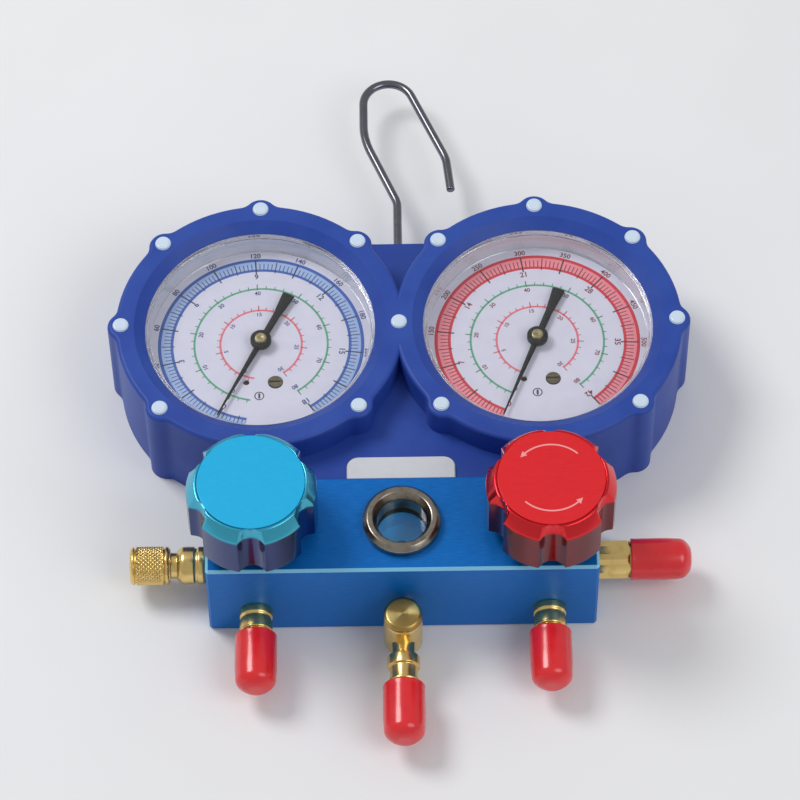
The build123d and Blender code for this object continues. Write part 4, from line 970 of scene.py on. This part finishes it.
def print_numbers(name, centre, items, material):
    """Flat printed numbers: each item is a text, a radius, an angle and a height in millimetres."""
    verts, faces = [], []
    for text, radius, angle, height in items:
        curve = bpy.data.curves.new(name, "FONT")
        curve.body = text
        curve.size = height * FONT_SIZE
        curve.offset = height * FONT_WEIGHT
        curve.align_x = "CENTER"
        curve.align_y = "CENTER"
        curve.resolution_u = 3
        holder = bpy.data.objects.new(name, curve)
        bpy.context.scene.collection.objects.link(holder)
        flat = bpy.data.meshes.new_from_object(holder.evaluated_get(bpy.context.evaluated_depsgraph_get()))
        turn = Matrix.Rotation(radians(angle - 90), 3, "Z")
        shift = Vector((radius * cos(radians(angle)), radius * sin(radians(angle)), 0))
        first = len(verts)
        verts += [tuple(turn @ v.co + shift) for v in flat.vertices]
        faces += [tuple(first + i for i in polygon.vertices) for polygon in flat.polygons]
        bpy.data.objects.remove(holder)
        bpy.data.curves.remove(curve)
        bpy.data.meshes.remove(flat)
    make_piece(name, verts, faces, standing(centre), material, "manifold")


def scale_numbers(zero_angle, count, step, radius, height):
    """Multiples of step from zero clockwise to the scale's end."""
    return [(str(index * step), radius, zero_angle - index * POINTER_SWEEP / count, height)
            for index in range(count + 1)]


NEEDLE_EDGE = 0.32          # height of the needle's sides
NEEDLE_RIDGE = 0.52
NEEDLE_FLAT = 0.55          # ridge's share of the width
POINTER_HUB_RADIUS = 3.6
POINTER_CAP_RISE = 0.7      # above the hub


def make_pointer(side, centre):
    """Ridged needle with a paddle tail, black hub and bright cap; returns the angle that it points at."""
    node = f"{side}_pointer"
    axle = Vector((centre.x, centre.y, 0)) * MM
    from_axle = [Vector((vert.co.x, vert.co.y, 0)) - axle for vert in nodes[node].data.vertices]
    tip = max(from_axle, key=lambda place: place.length)
    angle = atan2(tip.y, tip.x)
    reach = tip.length / MM - 0.02
    along = Vector((cos(angle), sin(angle), 0))
    tail = min(place.dot(along) for place in from_axle) / MM
    low, high = span(node, Z)
    half_widths = [(reach, 0.2), (reach * 0.5, 0.62), (0, 1.1), (tail + 10, 1.25), (tail + 9, 1.35),
                   (tail + 2.5, 2.0), (tail + 0.3, 2.25), (tail, 2.0)]
    verts, faces = [], []
    for x, half in half_widths:
        flat = half * NEEDLE_FLAT
        verts += [(x, -half, 0), (x, -half, NEEDLE_EDGE), (x, -flat, NEEDLE_RIDGE), (x, flat, NEEDLE_RIDGE),
                  (x, half, NEEDLE_EDGE), (x, half, 0)]
    for ring in range(len(half_widths) - 1):
        for step in range(6):
            a, b = ring * 6 + step, ring * 6 + (step + 1) % 6
            faces.append((a, b, b + 6, a + 6))
    faces += [tuple(range(6)), tuple(range(len(verts) - 6, len(verts)))]
    place = standing((centre.x, centre.y, low)) @ Matrix.Rotation(angle, 4, "Z")
    make_piece(f"{side}_pointer_needle", verts, faces, place, BLACK, node, [node], sharp=25)
    cap_start = high - POINTER_CAP_RISE
    hub = rounded([(0, low), (POINTER_HUB_RADIUS, low), (POINTER_HUB_RADIUS, cap_start), (1.9, cap_start)],
                  0.4)
    cap = rounded([(2.1, cap_start), (1.9, cap_start), (1.9, high), (0.7, high), (0.6, high - 0.3),
                   (0, high - 0.3)], 0.2)
    axis = standing((centre.x, centre.y, 0))
    turned(f"{side}_pointer_hub", hub, axis, BLACK, node, "pointer_black", segments=64)
    turned(f"{side}_pointer_cap", cap, axis, POINTER_CAP, node, "nickel", segments=64)
    return degrees(angle)


LENS_FRONT_INSET = 1.8      # each inset from the flange's edge
LENS_SKIRT_INSET = 1.35
LENS_INSIDE_INSET = 2.75
LENS_RAISE = 1.5            # raised front above the flange's underside
LENS_FLANGE = 0.9
LENS_THICKNESS = 2.0


def make_lens(side, centre):
    """Clear moulding: front plate with a raised face, thin flange, and a skirt down to the dial."""
    node = f"{side}_gauge_lens"
    low, high = span(node, Z)
    flange = width(node, X) / 2
    front, skirt, inside = flange - LENS_FRONT_INSET, flange - LENS_SKIRT_INSET, flange - LENS_INSIDE_INSET
    under, back = high - LENS_RAISE, high - LENS_THICKNESS
    over = under + LENS_FLANGE
    outline = rounded([(0, high), (front, high), (front, over), (flange, over), (flange, under),
                       (skirt, under), (skirt, low), (inside, low), (inside, back), (0, back)], 0.45, 4)
    turned(f"{side}_clear_lens", outline, standing((centre.x, centre.y, 0)), GLASS, "manifold", "clear_glass",
           [node], segments=256)


def make_gauge(side, look):
    """Pointer, printed dial with its numbers, and lens of one gauge."""
    node = f"{side}_gauge_dial"
    dial = middle(node)
    zero_angle = make_pointer(side, dial)
    dress(dial_finish(f"{side}_dial_print", dial * MM, zero_angle, look), node)
    ink = plain_finish(f"{side}_number_ink", look["ink"], (40, 42, 60), 0.5)
    band_outer, band_inner = look["band"]
    numbers = scale_numbers(zero_angle, MAJORS, look["step"], band_outer + 1.75, 1.9)
    numbers += scale_numbers(zero_angle, MAJORS // 2, look["inner_step"], band_inner - 2.7, 2.1)
    numbers += scale_numbers(zero_angle, ARC_MAJORS["green"], GREEN_STEP, look["green"] - 1.9, 1.6)
    numbers += scale_numbers(zero_angle, ARC_MAJORS["red"], RED_STEP, look["red"] - 1.8, 1.5)
    face = span(node, Z)[1]
    print_numbers(f"{side}_dial_numbers", (dial.x, dial.y, face + NUMBER_LIFT), numbers, ink)
    make_lens(side, dial)


for side, look in GAUGES.items():
    make_gauge(side, look)


# ---------------------------------------------------------------- studs and plate
SHARP_EDGE = radians(30)
SOFT_EDGE = 0.3


def softened(name, node, material):
    """A CAD piece again, with its sharp edges rounded."""
    work = bmesh.new()
    work.from_mesh(nodes[node].data)
    bmesh.ops.remove_doubles(work, verts=work.verts, dist=1e-6)
    bmesh.ops.dissolve_limit(work, angle_limit=radians(1), verts=work.verts, edges=work.edges)
    edges = [edge for edge in work.edges if edge.is_manifold and edge.calc_face_angle() > SHARP_EDGE]
    bmesh.ops.bevel(work, geom=edges, offset=SOFT_EDGE * MM, segments=3, affect="EDGES", clamp_overlap=True)
    work.verts.index_update()
    verts = [tuple(vert.co) for vert in work.verts]
    faces = [tuple(vert.index for vert in face.verts) for face in work.faces]
    work.free()
    make_piece(name, verts, faces, Matrix(), material, "manifold", [node], sharp=32)


softened("rounded_studs", "cover_studs", WHITE)
softened("rounded_plate", "face_plate", PLATE)


# ---------------------------------------------------------------- floor, light and camera, in metres
FLOOR_REACH = 6.0
AIM = (0, 0.05, 0)
WORLD_STRENGTH = 0.46
CAMERA_PLACE = (0.0, -0.7111, 1.2336)
VIEW_TILT = radians(32.42)  # from straight down towards +Y
VIEW_ROLL = radians(0.8)
LENS_MM = 189.0


def make_floor():
    """Pale bench top, faintly uneven in tone."""
    corners = [(-1, -1), (1, -1), (1, 1), (-1, 1)]
    mesh = bpy.data.meshes.new("floor")
    mesh.from_pydata([(x * FLOOR_REACH, y * FLOOR_REACH, 0) for x, y in corners], [], [(0, 1, 2, 3)])
    floor = bpy.data.objects.new("floor", mesh)
    bpy.context.scene.collection.objects.link(floor)
    finish = Finish("pale_floor", Roughness=0.7)
    tone = finish.noise(60.0, 2.0)
    finish.set("Base Color", finish.mix(tone.step(0.3, 0.7), linear(236, 237, 239), linear(238, 239, 241)))
    mesh.materials.append(finish.material)


def make_lamp(name, place, size, power):
    """Round area light that faces the aim point."""
    lamp = bpy.data.lights.new(name, "AREA")
    lamp.shape = "DISK"
    lamp.size = size
    lamp.energy = power
    holder = bpy.data.objects.new(name, lamp)
    holder.location = place
    holder.rotation_euler = (Vector(AIM) - Vector(place)).to_track_quat("-Z", "Y").to_euler()
    bpy.context.scene.collection.objects.link(holder)


def make_world():
    """Even white light from all round."""
    world = bpy.data.worlds.new("studio")
    world.use_nodes = True
    background = world.node_tree.nodes["Background"]
    background.inputs["Color"].default_value = (1, 1, 1, 1)
    background.inputs["Strength"].default_value = WORLD_STRENGTH
    bpy.context.scene.world = world


def make_camera():
    """Long lens from above and in front, rolled a little."""
    data = bpy.data.cameras.new("camera")
    data.lens = LENS_MM
    data.clip_start = 0.05
    camera = bpy.data.objects.new("camera", data)
    tilt, roll = Matrix.Rotation(VIEW_TILT, 4, "X"), Matrix.Rotation(-VIEW_ROLL, 4, "Z")
    camera.matrix_world = Matrix.Translation(CAMERA_PLACE) @ tilt @ roll
    bpy.context.scene.collection.objects.link(camera)
    bpy.context.scene.camera = camera


make_floor()
make_lamp("key_light", (-0.85, 0.55, 1.35), 0.7, 11.5)
make_lamp("fill_light", (0.9, -0.6, 1.2), 1.0, 6)
make_world()
make_camera()
bpy.context.scene.view_settings.view_transform = "Standard"
